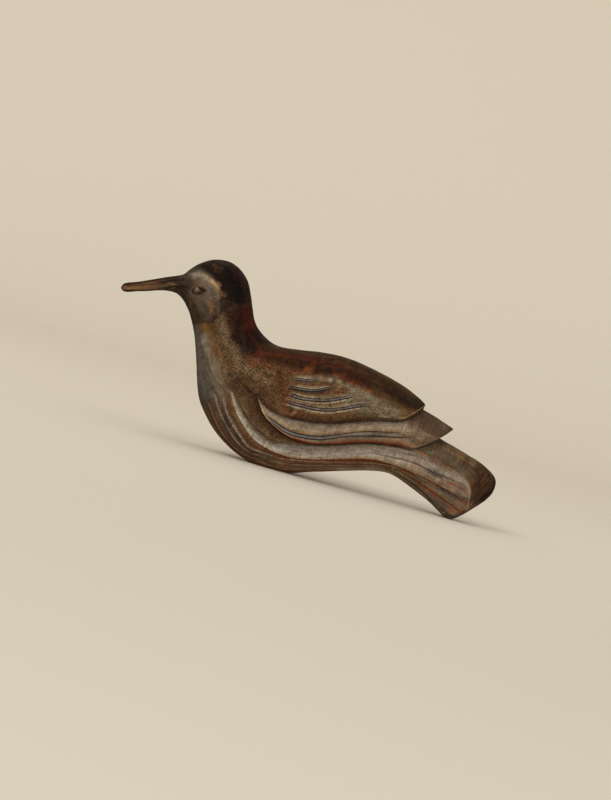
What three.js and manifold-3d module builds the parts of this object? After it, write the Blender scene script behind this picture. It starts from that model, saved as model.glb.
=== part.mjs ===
// Shorebird decoy: one carved and painted block of wood, lying on its belly and the low corner of its tail.
// The bird faces -X, its length runs along X, Y is across it and Z is up.
import * as THREE from "three";
import { mergeVertices } from "three/addons/utils/BufferGeometryUtils.js";
import Module from "manifold-3d";

const wasm = await Module();
wasm.setup();

// Driving sizes in millimetres. The outline and the run of the carving are shares of the length.
const LENGTH = 270;
const COVERT_EDGE_DEPTH = 1.9;
const COVERT_TIP_DEPTH = 4;
const WING_EDGE_DEPTH = 2;
const COVE_DEPTH = 1.2;
const FLUTE_DEPTH = 1.9;
const TAIL_FEATHER_DEPTH = 0.9;
const FEATHER_LINE_WIDTH = 0.8;
const FEATHER_LINE_DEPTH = 0.7;
const BREAST_LINE_WIDTH = 1;
const BREAST_LINE_DEPTH = 0.7;
const ROOF_RIDGE_RISE = 1.1;
const TAIL_FLUTE_DEPTH = 1;
const BEAD_RISE = 0.5;
const EYE_LENGTH = 4.2;
const EYE_HEIGHT = 4.6;
const EYE_THICKNESS = 3;
const EYE_RISE = 0.8;
const BELLY_FLAT_DEPTH = 1.5;
const TAIL_FLAT_DEPTH = 0.4;

// Mesh fineness: distance between stations, and how many stations a carved line takes to fade in.
const HEAD_STATION_GAP = 4;
const BODY_STATION_GAP = 6;
const TAIL_STATION_GAP = 3;
const LENGTH_SAMPLES = 240;
const EASE_STATIONS = 6;
const FADE_STATIONS = 2.5;
const PLAIN_BACK_ROWS = 3;
const COVE_ROWS = 2;
const FLUTE_ROWS = 2;
const PLAIN_KEEL_ROWS = 2;
const MERGE_DISTANCE = 0.004;

// A groove's lower lip lies further out than its upper one, in half widths. The seam is where the layers' rows start
// on the bill, as a turn around the section.
const GROOVE_LEAN = 3;
const HEAD_SEAM = 1.4;
const EYE_SIDES = 12;
const FEATHER_HOME = 3;

// Shape of the cross-section: 2 is an ellipse, more is squarer.
const HEAD_ROUNDNESS = 2.1;
const BODY_ROUNDNESS = 2.3;
const WING_ROUNDNESS = 1.75;
const TAIL_ROUNDNESS = 2.7;

// One share is a hundredth of the length. Places are [along, up] from the bill tip.
const SHARE = LENGTH / 100;

// Ribs across the bird, front to back: [top along, top up, bottom along, bottom up, half width] in shares.
const FRONT_RIBS = [
  [0, 0, 0, 0, 0],
  [0.8, 1.1, 0.8, -0.9, 0.8],
  [5.1, 1.7, 5.1, -0.9, 1.1],
  [11.7, 2.8, 11.7, -0.7, 1.6],
  [16.9, 3.7, 14.5, -1.3, 3.2],
  [18.4, 4.9, 15.7, -2.1, 3.9],
  [21.1, 6.5, 16.8, -3.5, 4.7],
  [25.1, 7.5, 17.6, -5.1, 5.3],
  [29.1, 6.9, 18.3, -6.7, 5.6],
  [31.7, 5.1, 18.8, -8.5, 5.7],
  [33.9, 1.6, 19.3, -10.7, 5.6],
  [34.7, -2.1, 19.7, -13.3, 5.5],
  [36.1, -9.9, 20.1, -19.7, 6.5],
  [39.7, -14.2, 20.5, -27.2, 9],
  [42.4, -15.6, 21.3, -30.9, 10.1],
  [47.7, -16.5, 25.6, -38.9, 11.6],
];
const BACK_RIBS = [
  [53.1, -17.1, 33.1, -45.7, 12],
  [58.4, -18.1, 42.4, -49.1, 11.7],
  [63.7, -20, 51.7, -49, 11.1],
  [74.4, -25.5, 65.9, -48.7, 9.2],
  [79.2, -29.1, 70.7, -49.2, 8.5],
  [81.2, -31.1, 72.8, -50.1, 8.2],
];
const WING_RIBS = [
  [83.5, -34.1, 75.7, -52, 7.8],
  [88.7, -37.6, 80.3, -55.5, 7.3],
];
const TAIL_RIBS = [
  [86.4, -40.9, 81.9, -56.8, 7.1],
  [91.7, -44, 84.8, -59.7, 6.7],
  [97.1, -47.6, 86.9, -61.5, 6.1],
  [99.9, -51.2, 89.3, -61.3, 4.9],
  [99.2, -54.4, 93.6, -58.9, 3.2],
  [97.1, -56.8, 97.1, -56.8, 0],
];
// The tail starts under the wing tip, at the first tail rib's top.
const TAIL_ROOT = [84.7, -39.9];

// Carved lines on the flank, each as places in the side view.
const COVERT_EDGE = [
  [36.3, -27.9], [37.5, -29.8], [40.2, -32.2], [45.7, -34.1], [53.8, -35.3], [60.9, -35.1], [67.7, -34.6],
  [73.8, -34.6], [75.5, -34.3], [77.9, -33.1], [81.2, -31.1],
];
const WING_EDGE = [
  [36.3, -27.9], [37.1, -30.4], [38.4, -33.6], [43.9, -38.7], [50.7, -41.1], [57.5, -41.2], [64.3, -40.8],
  [71.1, -41.3], [77.9, -42.2], [79.7, -41.7], [84.7, -39.8], [88.7, -37.6],
];
const COVE_LINE = [
  [39.6, -33.9], [43.9, -37], [47.3, -38.3], [52.3, -39], [58.1, -38.6], [64.3, -37.8], [70.4, -38], [74.4, -38.3],
];
const BEAD_LINE = [
  [39.2, -34.6], [43.9, -38], [47.3, -39.2], [53.3, -40], [59.2, -39.1], [67.7, -39.1], [74.4, -39.4], [81.3, -39.1],
];
const WING_ROOF = [[75.5, -34.4], [77.6, -36.1], [84.7, -39.6]];
const FLUTE_TOP = [
  [29.3, -25.3], [30.7, -28.1], [33.4, -33], [36.1, -36.5], [40.2, -39.8], [45.6, -41.1], [54.1, -41.9],
  [64.3, -41.5], [71.1, -41.9], [77.6, -42.7], [81.1, -44.1], [86.4, -47.1], [90.4, -49.3], [92.5, -51.5],
  [93.2, -53.7], [92.8, -56], [91.6, -59.9],
];
const FLUTE_MIDDLE = [
  [29.7, -26.9], [31.7, -31.7], [35.5, -37.9], [40.3, -41.4], [47.7, -43.2], [55.7, -43.6], [63.7, -43.4],
  [71.7, -45.1], [77.1, -46.1], [82.4, -48.5], [87.7, -50.7], [91.7, -52.5], [92.3, -54.4], [91.6, -59.9],
];
const FLUTE_BOTTOM = [
  [29.6, -27.6], [30.1, -30.9], [32.1, -35.2], [34.8, -39.3], [37.5, -41.6], [43.9, -44.6], [50.7, -45.5],
  [60.8, -45.4], [67.7, -45.7], [71.7, -46.9], [77.1, -48.9], [82.4, -51.5], [87.7, -54.4], [91.5, -56.7],
];
const BREAST_LINES = [
  [
    [26.9, -27.3], [27.7, -31.7], [29.3, -35.5], [31.5, -39], [33.7, -42], [37.5, -43.6], [42.9, -45.3],
    [48.3, -45.9], [59.7, -46.4], [67.7, -46.8], [73.1, -48], [77.1, -50.4], [82.4, -53.9], [86.4, -56.5], [90.4, -59.5],
  ],
  [
    [25.1, -28.7], [26.1, -32.5], [28, -36.3], [30.9, -40.9], [34.4, -43.7], [37.5, -44.7], [42.9, -46.5],
    [48.3, -47], [59.7, -47.2], [67.7, -47.5], [71.7, -48.5], [77.1, -51.6], [82.4, -55.7], [87.5, -60.3],
  ],
  [
    [23.6, -31.1], [25, -35.2], [27.4, -39.3], [30.4, -42.6], [34.4, -44.9], [37.2, -45.8], [40.2, -47.2],
    [48.3, -48.1], [58, -48.1],
  ],
];

// Four slender feathers cut into the coverts: centre line places and half thickness in shares.
const COVERT_FEATHERS = [
  { middle: [[45.3, -23.8], [50.4, -24.3], [53.1, -24]], thick: 0.3 },
  { middle: [[44.3, -25.9], [51.2, -26.9], [56.8, -26]], thick: 0.25 },
  { middle: [[44.3, -27.7], [48.9, -29.1], [55.5, -29.4], [62.9, -28.1]], thick: 0.42 },
  { middle: [[43.5, -29.5], [48.6, -31], [54.7, -32], [65.6, -30.6]], thick: 0.4 },
];

const EYE_PLACE = [20.2, -0.7];

const woodPaint = new THREE.MeshStandardMaterial({ color: 0x6a5030, roughness: 0.72, metalness: 0 });

// Smooth curve through side-view places, with the half width riding along as Y.
function curveThrough(places) {
  const points = places.map(([along, up, across = 0]) =>
    new THREE.Vector3(along, across, up).multiplyScalar(SHARE));
  return new THREE.CatmullRomCurve3(points);
}

const ALL_RIBS = [...FRONT_RIBS, ...BACK_RIBS, ...WING_RIBS, ...TAIL_RIBS];
const SHOULDER = FRONT_RIBS.length - 1;
const COVERT_TIP = SHOULDER + BACK_RIBS.length;
const WING_TIP = COVERT_TIP + WING_RIBS.length;
const TAIL_END = ALL_RIBS.length - 1;

const keel = curveThrough(ALL_RIBS.map(([, , along, up, half]) => [along, up, half]));
const keelAt = (rib) => keel.getPoint(rib / TAIL_END);
const backLine = curveThrough([...FRONT_RIBS, ...BACK_RIBS].map(([along, up]) => [along, up]));
const covertTip = backLine.getPoint(1);
const wingStart = stepDown(covertTip, keelAt(COVERT_TIP), COVERT_TIP_DEPTH);
const wingLine = curveThrough([
  [wingStart.x / SHARE, wingStart.z / SHARE],
  ...WING_RIBS.map(([along, up]) => [along, up]),
]);
const tailLine = curveThrough([TAIL_ROOT, ...TAIL_RIBS.map(([along, up]) => [along, up])]);

// The point a given depth below the top of a rib, on its line to the keel.
function stepDown(top, bottom, depth) {
  const toKeel = new THREE.Vector3(bottom.x - top.x, 0, bottom.z - top.z).normalize();
  return top.clone().addScaledVector(toKeel, depth);
}

// How far a rib number lies between two others, from 0 to 1.
function between(rib, first, last) {
  return THREE.MathUtils.clamp((rib - first) / (last - first), 0, 1);
}

function smooth(share) {
  return share * share * (3 - 2 * share);
}

// Depth of the step under the covert edge and under the wing edge, growing from nothing at the shoulder.
function stepDepths(rib) {
  const grown = smooth(between(rib, SHOULDER, SHOULDER + 2));
  const atTip = smooth(between(rib, COVERT_TIP - 3, COVERT_TIP));
  const covert = rib > COVERT_TIP ? 0 : grown * THREE.MathUtils.lerp(COVERT_EDGE_DEPTH, COVERT_TIP_DEPTH, atTip);
  const wing = rib > WING_TIP ? 0 : grown * WING_EDGE_DEPTH;
  return { covert, wing };
}

function roundnessAt(rib) {
  const body = THREE.MathUtils.lerp(HEAD_ROUNDNESS, BODY_ROUNDNESS, smooth(between(rib, SHOULDER - 5, SHOULDER)));
  const wing = THREE.MathUtils.lerp(body, WING_ROUNDNESS, smooth(between(rib, SHOULDER + 2, COVERT_TIP)));
  return THREE.MathUtils.lerp(wing, TAIL_ROUNDNESS, smooth(between(rib, WING_TIP, WING_TIP + 2)));
}

// The three nested surfaces at a rib: 0 the back and coverts, 1 the long feathers, 2 the breast, belly and tail.
function sectionsAt(rib) {
  const bottom = keelAt(rib);
  const steps = stepDepths(rib);
  const half = bottom.y;
  const tailShift = new THREE.Vector3(TAIL_ROOT[0] - WING_RIBS.at(-1)[0], 0, TAIL_ROOT[1] - WING_RIBS.at(-1)[1])
    .multiplyScalar(SHARE);
  const back = backLine.getPoint(between(rib, 0, COVERT_TIP));
  const wing = rib <= COVERT_TIP
    ? stepDown(back, bottom, steps.covert)
    : wingLine.getPoint(between(rib, COVERT_TIP, WING_TIP));
  const hidden = between(rib, SHOULDER, WING_TIP) ** 3;
  const tail = rib <= WING_TIP
    ? wing.clone().addScaledVector(tailShift, hidden)
    : tailLine.getPoint(between(rib, WING_TIP, TAIL_END));
  const roundness = roundnessAt(rib);
  const halves = [half + steps.wing + (rib > COVERT_TIP ? 0 : steps.covert), half + steps.wing, half];
  return [back, wing, tail].map((top, layer) => ({ top, bottom, half: halves[layer], roundness }));
}

// A point of a section: turn runs from 0 on the back to PI on the keel; depth goes in along the section's own normal.
function pointOn(section, turn, depth) {
  const { top, bottom, half, roundness } = section;
  const down = (1 - Math.cos(turn)) / 2;
  const across = half * (1 - Math.abs(2 * down - 1) ** roundness) ** (1 / roundness);
  const line = new THREE.Vector3(bottom.x - top.x, 0, bottom.z - top.z);
  const height = line.length();
  const point = top.clone().setY(0).addScaledVector(line, down);
  point.y = across;
  if (depth === 0 || height === 0 || half === 0) return point;
  const inward = new THREE.Vector2(-(2 * down - 1) * height / (height * height), -across / (half * half)).normalize();
  point.addScaledVector(line.normalize(), inward.x * depth);
  point.y = Math.max(0, point.y + inward.y * depth);
  return point;
}

// The turn at which a carved line crosses a section's line in the side view, or null where it doesn't.
function crossing(section, places) {
  const { top, bottom } = section;
  const lineX = bottom.x - top.x;
  const lineZ = bottom.z - top.z;
  const side = (p) => (p.x - top.x) * lineZ - (p.z - top.z) * lineX;
  for (let i = 1; i < places.length; i++) {
    const before = side(places[i - 1]);
    const after = side(places[i]);
    if (before * after > 0 || before === after) continue;
    const hit = places[i - 1].clone().lerp(places[i], before / (before - after));
    const down = ((hit.x - top.x) * lineX + (hit.z - top.z) * lineZ) / (lineX * lineX + lineZ * lineZ);
    if (down > -0.05 && down < 1.05) return Math.acos(1 - 2 * THREE.MathUtils.clamp(down, 0, 1));
  }
  return null;
}

function topAt(rib) {
  const layer = rib < COVERT_TIP ? 0 : rib < WING_TIP ? 1 : 2;
  return sectionsAt(rib)[layer].top;
}

// Stations from bill to tail. Where a layer ends in a tip, one station has the layer and the next, in the same
// place, is without it.
function stationList() {
  const stretches = [
    { first: 0, last: SHOULDER - 3, gap: HEAD_STATION_GAP, layers: 0 },
    { first: SHOULDER - 3, last: SHOULDER, gap: BODY_STATION_GAP, layers: 0 },
    { first: SHOULDER, last: COVERT_TIP, gap: BODY_STATION_GAP, layers: 2 },
    { first: COVERT_TIP, last: WING_TIP, gap: TAIL_STATION_GAP, layers: 1 },
    { first: WING_TIP, last: TAIL_END, gap: TAIL_STATION_GAP, layers: 0 },
  ];
  const stations = [];
  for (const { first, last, gap, layers } of stretches) {
    const lengths = [0];
    const ribs = Array.from({ length: LENGTH_SAMPLES + 1 }, (_, i) => first + ((last - first) * i) / LENGTH_SAMPLES);
    for (let i = 1; i < ribs.length; i++) {
      const above = topAt(ribs[i - 1]).distanceTo(topAt(ribs[i]));
      const below = keelAt(ribs[i - 1]).distanceTo(keelAt(ribs[i]));
      lengths.push(lengths[i - 1] + (above + below) / 2);
    }
    const count = Math.max(1, Math.round(lengths.at(-1) / gap));
    for (let k = 0; k <= count; k++) {
      const at = lengths.findIndex((length) => length >= (lengths.at(-1) * k) / count - 1e-9);
      if (k > 0 || layers !== stations.at(-1)?.layers) stations.push({ rib: ribs[at], layers });
    }
  }
  return stations;
}

const stations = stationList().map((station) => ({ ...station, sections: sectionsAt(station.rib) }));

// The turn of a carved line at every station. In front of its start it eases over to a plain share of the strip, and
// behind its end it keeps its last turn. "there" fades in and out at its two ends.
function lineTurns(places, layer, from, to, share) {
  const path = curveThrough(places).getPoints(LENGTH_SAMPLES);
  const found = stations.map(({ sections }) => crossing(sections[layer], path));
  const first = found.findIndex((turn) => turn !== null);
  const last = found.findLastIndex((turn) => turn !== null);
  return stations.map((_, i) => {
    const home = THREE.MathUtils.lerp(from[i], to[i], share);
    const held = found[i] ?? found[i < first ? first : last];
    const eased = i < first ? THREE.MathUtils.lerp(held, home, smooth(Math.min(1, (first - i) / EASE_STATIONS))) : held;
    const turn = THREE.MathUtils.clamp(eased, from[i], to[i]);
    const there = THREE.MathUtils.clamp(Math.min(i - first + 0.5, last - i + 0.5) / FADE_STATIONS, 0, 1);
    return { turn, there: found[i] === null ? 0 : there };
  });
}

// The turn that takes a given width of surface at a place on a section.
function turnFor(section, turn, width) {
  const near = pointOn(section, Math.max(0.01, turn - 0.01), 0);
  const far = pointOn(section, Math.min(Math.PI - 0.01, turn + 0.01), 0);
  return (width * 0.02) / Math.max(near.distanceTo(far), 0.01);
}

// The rows of the mesh at one station, from the back to the keel, as { layer, turn, depth }.
const tops = stations.map(() => 0);
const keels = stations.map(() => Math.PI);
const shoulderTurn = crossing(sectionsAt(SHOULDER)[0], curveThrough(COVERT_EDGE).getPoints(LENGTH_SAMPLES)) ?? HEAD_SEAM;

// The lower edge of a layer: a plain row up to the shoulder, and closed on the back behind the layer's tip.
function edgeTurns(places, layer, lastRib) {
  const path = curveThrough(places).getPoints(LENGTH_SAMPLES);
  return stations.map(({ rib, layers, sections }) => {
    if (rib <= SHOULDER) return THREE.MathUtils.lerp(HEAD_SEAM, shoulderTurn, smooth(between(rib, 0, SHOULDER)));
    if (rib >= lastRib || layers < 2 - layer) return 0;
    return crossing(sections[layer], path) ?? shoulderTurn;
  });
}

const covertEdge = edgeTurns(COVERT_EDGE, 0, COVERT_TIP);
const wingEdge = edgeTurns(WING_EDGE, 1, WING_TIP).map((turn, i) => Math.max(turn, covertEdge[i]));
const feathers = COVERT_FEATHERS.map(({ middle, thick }, i) => ({
  line: lineTurns(middle, 0, tops, covertEdge, (i + FEATHER_HOME) / (COVERT_FEATHERS.length + FEATHER_HOME)),
  thick: thick * SHARE,
}));
const coveLine = lineTurns(COVE_LINE, 1, covertEdge, wingEdge, 0.6);
const beadLine = lineTurns(BEAD_LINE, 1, covertEdge, wingEdge, 0.75);
const wingRoof = lineTurns(WING_ROOF, 1, covertEdge, wingEdge, 0);
const flowLines = [FLUTE_TOP, FLUTE_MIDDLE, FLUTE_BOTTOM, ...BREAST_LINES].map((places, i, all) =>
  lineTurns(places, 2, wingEdge, keels, (i + 1) / (all.length + 2)));

// A V groove as rows at its upper lip, its bottom and its lower lip.
function grooveRows(section, { turn, there }, width, depth, lean = 1) {
  const half = there > 0 ? turnFor(section, turn, width / 2) : 0;
  return [
    { turn: turn - half, depth: 0 },
    { turn, depth: depth * there },
    { turn: turn + half * lean, depth: 0 },
  ];
}

function evenRows(from, to, count, depthAt = () => 0) {
  return Array.from({ length: count }, (_, k) => {
    const share = (k + 1) / (count + 1);
    return { turn: THREE.MathUtils.lerp(from, to, share), depth: depthAt(share) };
  });
}

// Back and coverts, with the slender feathers: each is a crest between two grooves.
function covertRows(i, section) {
  const first = feathers[0].line[i].turn;
  const rows = [{ turn: 0, depth: 0 }, ...evenRows(0, first, PLAIN_BACK_ROWS)];
  for (const { line, thick } of feathers) {
    const { turn, there } = line[i];
    const half = turnFor(section, turn, thick) * there;
    const upper = grooveRows(section, { turn: turn - half, there }, FEATHER_LINE_WIDTH, FEATHER_LINE_DEPTH);
    const lower = grooveRows(section, { turn: turn + half, there }, FEATHER_LINE_WIDTH, FEATHER_LINE_DEPTH);
    rows.push(...upper.slice(0, 2), { turn, depth: 0 }, ...lower.slice(1));
  }
  return [...rows, { turn: covertEdge[i], depth: 0 }];
}

// Long feathers: a roof ridge behind, and a cove, two grooves and a bead down to the wing edge.
function wingRows(i, section) {
  const roof = wingRoof[i].turn;
  const cove = coveLine[i];
  const rise = -ROOF_RIDGE_RISE * wingRoof[i].there;
  const hollow = (share) => COVE_DEPTH * Math.sin(Math.PI * share) * cove.there;
  return [
    { turn: covertEdge[i], depth: 0 },
    ...evenRows(covertEdge[i], roof, 1, () => rise / 2),
    { turn: roof, depth: rise },
    ...evenRows(roof, cove.turn, COVE_ROWS, hollow),
    ...grooveRows(section, cove, FEATHER_LINE_WIDTH, FEATHER_LINE_DEPTH),
    ...grooveRows(section, beadLine[i], FEATHER_LINE_WIDTH, FEATHER_LINE_DEPTH),
    ...evenRows(beadLine[i].turn, wingEdge[i], 1, () => -BEAD_RISE * beadLine[i].there),
    { turn: wingEdge[i], depth: 0 },
  ];
}

// Breast, belly and tail: the long flute, and the lines that run from the breast into the tail's feather edges.
function bodyRows(i, section) {
  const { rib } = stations[i];
  const inTail = smooth(between(rib, COVERT_TIP - 4, COVERT_TIP));
  const lineDepth = THREE.MathUtils.lerp(BREAST_LINE_DEPTH, TAIL_FEATHER_DEPTH, inTail);
  const [top, middle, bottom, ...breast] = flowLines.map((line) => line[i]);
  const flute = THREE.MathUtils.lerp(FLUTE_DEPTH, TAIL_FLUTE_DEPTH, inTail) * Math.min(top.there, bottom.there);
  const fluteDepth = (turn) => {
    const share = between(turn, top.turn, bottom.turn + 1e-6);
    return flute * 4 * share * (1 - share);
  };
  const hollow = (from, to, count) => evenRows(from, to, count).map(({ turn }) => ({ turn, depth: fluteDepth(turn) }));
  const middleGroove = grooveRows(section, { ...middle, there: middle.there * inTail }, BREAST_LINE_WIDTH, TAIL_FEATHER_DEPTH);
  return [
    { turn: wingEdge[i], depth: 0 },
    ...evenRows(wingEdge[i], top.turn, 1),
    { turn: top.turn, depth: 0 },
    ...hollow(top.turn, middle.turn, FLUTE_ROWS),
    ...middleGroove.map(({ turn, depth }) => ({ turn, depth: depth + fluteDepth(turn) })),
    ...hollow(middle.turn, bottom.turn, FLUTE_ROWS),
    ...grooveRows(section, bottom, BREAST_LINE_WIDTH, lineDepth, GROOVE_LEAN),
    ...breast.flatMap((line) => grooveRows(section, line, BREAST_LINE_WIDTH, lineDepth, GROOVE_LEAN)),
    ...evenRows(breast.at(-1).turn, Math.PI, PLAIN_KEEL_ROWS),
    { turn: Math.PI, depth: 0 },
  ];
}

// All rows of a station as points, top to keel. Rows stay in order, and rows that meet share one point.
function stationPoints({ rib, layers, sections }, i) {
  const strips = [covertRows, wingRows, bodyRows];
  return strips.flatMap((rowsOf, layer) => {
    const gone = rib > SHOULDER && layers < 2 - layer;
    const section = sections[gone ? 2 - layers : layer];
    let lowest = 0;
    return rowsOf(i, section).map(({ turn, depth }) => {
      lowest = gone ? 0 : THREE.MathUtils.clamp(turn, lowest, Math.PI);
      return pointOn(section, lowest, gone ? 0 : depth);
    });
  });
}

// The skin: the left flank's grid of points, its mirror image, and triangles between neighbouring stations.
function skin() {
  const grid = stations.map(stationPoints);
  const corners = [];
  const face = (a, b, c) => {
    for (const p of [a, b, c]) corners.push(p.x, -p.y, p.z);
    for (const p of [a, c, b]) corners.push(p.x, p.y, p.z);
  };
  for (let i = 1; i < grid.length; i++) {
    for (let k = 1; k < grid[i].length; k++) {
      const [a, b, c, d] = [grid[i - 1][k - 1], grid[i - 1][k], grid[i][k], grid[i][k - 1]];
      if (a.distanceTo(c) < b.distanceTo(d)) {
        face(a, b, c);
        face(a, c, d);
      } else {
        face(a, b, d);
        face(b, c, d);
      }
    }
  }
  return solidFrom(new THREE.BufferGeometry().setAttribute("position", new THREE.Float32BufferAttribute(corners, 3)));
}

// A closed geometry as a solid, with shared vertices merged and faces that collapsed dropped.
function solidFrom(geometry) {
  const plain = geometry.clone();
  plain.deleteAttribute("normal");
  plain.deleteAttribute("uv");
  const merged = mergeVertices(plain, MERGE_DISTANCE);
  const index = merged.index.array;
  const kept = [];
  for (let i = 0; i < index.length; i += 3) {
    const [a, b, c] = index.subarray(i, i + 3);
    if (a !== b && b !== c && a !== c) kept.push(a, b, c);
  }
  return new wasm.Manifold(new wasm.Mesh({
    numProp: 3,
    vertProperties: merged.attributes.position.array,
    triVerts: new Uint32Array(kept),
  }));
}

function geometryFrom(solid) {
  const { numProp, numVert, vertProperties, triVerts } = solid.getMesh();
  const positions = new Float32Array(numVert * 3);
  for (let i = 0; i < numVert; i++) positions.set(vertProperties.subarray(i * numProp, i * numProp + 3), i * 3);
  const geometry = new THREE.BufferGeometry();
  geometry.setAttribute("position", new THREE.BufferAttribute(positions, 3));
  geometry.setIndex(new THREE.BufferAttribute(new Uint32Array(triVerts), 1));
  return geometry;
}

// An eye: a low dome standing out of the side of the head, where a straight look from the side meets it.
function eye(head, side) {
  const [along, up] = EYE_PLACE;
  const from = new THREE.Vector3(along * SHARE, side * LENGTH, up * SHARE);
  const look = new THREE.Raycaster(from, new THREE.Vector3(0, -side, 0));
  const { point } = look.intersectObject(new THREE.Mesh(geometryFrom(head), woodPaint))[0];
  const dome = new THREE.SphereGeometry(0.5, EYE_SIDES, EYE_SIDES / 2);
  dome.scale(EYE_LENGTH, EYE_THICKNESS, EYE_HEIGHT);
  dome.translate(point.x, point.y + side * (EYE_RISE - EYE_THICKNESS / 2), point.z);
  return solidFrom(dome);
}

// The lean at which the belly and the tail's low corner touch one plane, each cut to its own flat depth.
function restLean() {
  const turned = (p, lean) => p.x * Math.sin(lean) + p.z * Math.cos(lean);
  const lowest = (first, last, lean) => {
    const ribs = Array.from({ length: LENGTH_SAMPLES + 1 }, (_, i) => first + ((last - first) * i) / LENGTH_SAMPLES);
    return Math.min(...ribs.map((rib) => turned(keelAt(rib), lean)));
  };
  let [low, high] = [0, Math.PI / 4];
  for (let i = 0; i < 40; i++) {
    const lean = (low + high) / 2;
    const belly = lowest(0, COVERT_TIP, lean) + BELLY_FLAT_DEPTH;
    const tail = lowest(COVERT_TIP, TAIL_END, lean) + TAIL_FLAT_DEPTH;
    if (tail < belly) low = lean;
    else high = lean;
  }
  const lean = (low + high) / 2;
  return { lean, plane: lowest(0, COVERT_TIP, lean) + BELLY_FLAT_DEPTH };
}

// The whole bird, turned to rest on its flats, with the middle of its footprint box at the origin.
function restingBird() {
  const carved = skin();
  const whole = [-1, 1].reduce((bird, side) => bird.add(eye(carved, side)), carved);
  const { lean, plane } = restLean();
  const turned = geometryFrom(whole).rotateY(-lean).translate(0, 0, -plane);
  const ground = new THREE.BoxGeometry(3 * LENGTH, LENGTH, LENGTH).translate(0, 0, -LENGTH / 2);
  const resting = geometryFrom(solidFrom(turned).subtract(solidFrom(ground)));
  resting.computeBoundingBox();
  const middle = resting.boundingBox.getCenter(new THREE.Vector3());
  return resting.translate(-middle.x, -middle.y, 0);
}

const bird = new THREE.Mesh(restingBird(), woodPaint);
bird.name = "carved_bird";
const decoy = new THREE.Group();
decoy.add(bird);

export default decoy;
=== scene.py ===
"""Looks of a carved and painted shorebird decoy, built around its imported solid.

The bird is drawn in side view, bill to the left. Outline places are in shares: a share is a hundredth of
the bird's length, measured level from the bill tip, along and then up. Carving depths and widths are in
millimetres.
"""

from __future__ import annotations

import logging
import math
from collections import Counter
from dataclasses import dataclass, field, replace
from enum import Enum

import bpy
import numpy as np
from mathutils import Matrix, Vector

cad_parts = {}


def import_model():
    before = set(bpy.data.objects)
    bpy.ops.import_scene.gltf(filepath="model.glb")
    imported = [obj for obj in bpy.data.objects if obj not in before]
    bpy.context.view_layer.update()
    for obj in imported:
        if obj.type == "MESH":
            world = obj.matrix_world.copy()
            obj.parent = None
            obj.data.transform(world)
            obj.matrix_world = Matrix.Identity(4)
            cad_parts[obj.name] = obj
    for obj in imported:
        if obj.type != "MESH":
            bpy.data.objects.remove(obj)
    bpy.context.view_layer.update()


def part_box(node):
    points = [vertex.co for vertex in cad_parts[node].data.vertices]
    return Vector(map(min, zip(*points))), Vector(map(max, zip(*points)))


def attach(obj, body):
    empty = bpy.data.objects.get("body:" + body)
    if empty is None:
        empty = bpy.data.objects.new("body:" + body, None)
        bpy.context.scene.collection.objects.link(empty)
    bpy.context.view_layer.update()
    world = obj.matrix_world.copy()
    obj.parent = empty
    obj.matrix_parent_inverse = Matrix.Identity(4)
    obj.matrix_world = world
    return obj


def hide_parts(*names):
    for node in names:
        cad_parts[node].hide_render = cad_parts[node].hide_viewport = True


LOG = logging.getLogger("decoy")
METRES = 0.001
BIRD_NODE = "carved_bird"
PIECE_NAME = "painted_bird"
HEAD_SEAM = 1.4
STATION_PROBES = 1200
PICTURE_MIDDLE = (49.2, 0.0, -29.87)

Places = tuple[tuple[float, ...], ...]
Number = np.ndarray | float
Grids = dict[str, np.ndarray]


# Small helpers on numbers and curves


def smooth(share: Number) -> Number:
    """Eases a share from 0 to 1 so that it starts and ends level."""
    kept = np.clip(share, 0.0, 1.0)
    return kept * kept * (3 - 2 * kept)


def between(value: Number, first: Number, last: Number) -> Number:
    """Gives how far a value lies between two others, from 0 to 1."""
    return np.clip((value - first) / (last - first), 0.0, 1.0)


def mix(first: Number, second: Number, share: Number) -> Number:
    """Mixes two values by a share."""
    return first + (second - first) * share


def curve_points(places: np.ndarray, along: np.ndarray) -> np.ndarray:
    """Runs a centripetal curve through places.

    Args:
        places: the places, one row each.
        along: shares of the curve, 0 at the first place and 1 at the last, with equal steps between places.

    Returns:
        One point for each share.
    """
    last = len(places) - 1
    where = np.clip(along, 0.0, 1.0) * last
    index = np.minimum(where.astype(int), last - 1)
    weight = (where - index)[:, None]
    padded = np.vstack([2 * places[0] - places[1], places, 2 * places[-1] - places[-2]])
    p0, p1, p2, p3 = (padded[index + k] for k in range(4))
    d0, d1, d2 = (((b - a) ** 2).sum(1, keepdims=True) ** 0.25 for a, b in ((p0, p1), (p1, p2), (p2, p3)))
    leave = ((p1 - p0) / d0 - (p2 - p0) / (d0 + d1) + (p2 - p1) / d1) * d1
    reach = ((p2 - p1) / d1 - (p3 - p1) / (d1 + d2) + (p3 - p2) / d2) * d1
    square = -3 * p1 + 3 * p2 - 2 * leave - reach
    cube = 2 * p1 - 2 * p2 + leave + reach
    return p1 + leave * weight + square * weight**2 + cube * weight**3


# The outline and its ribs


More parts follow.
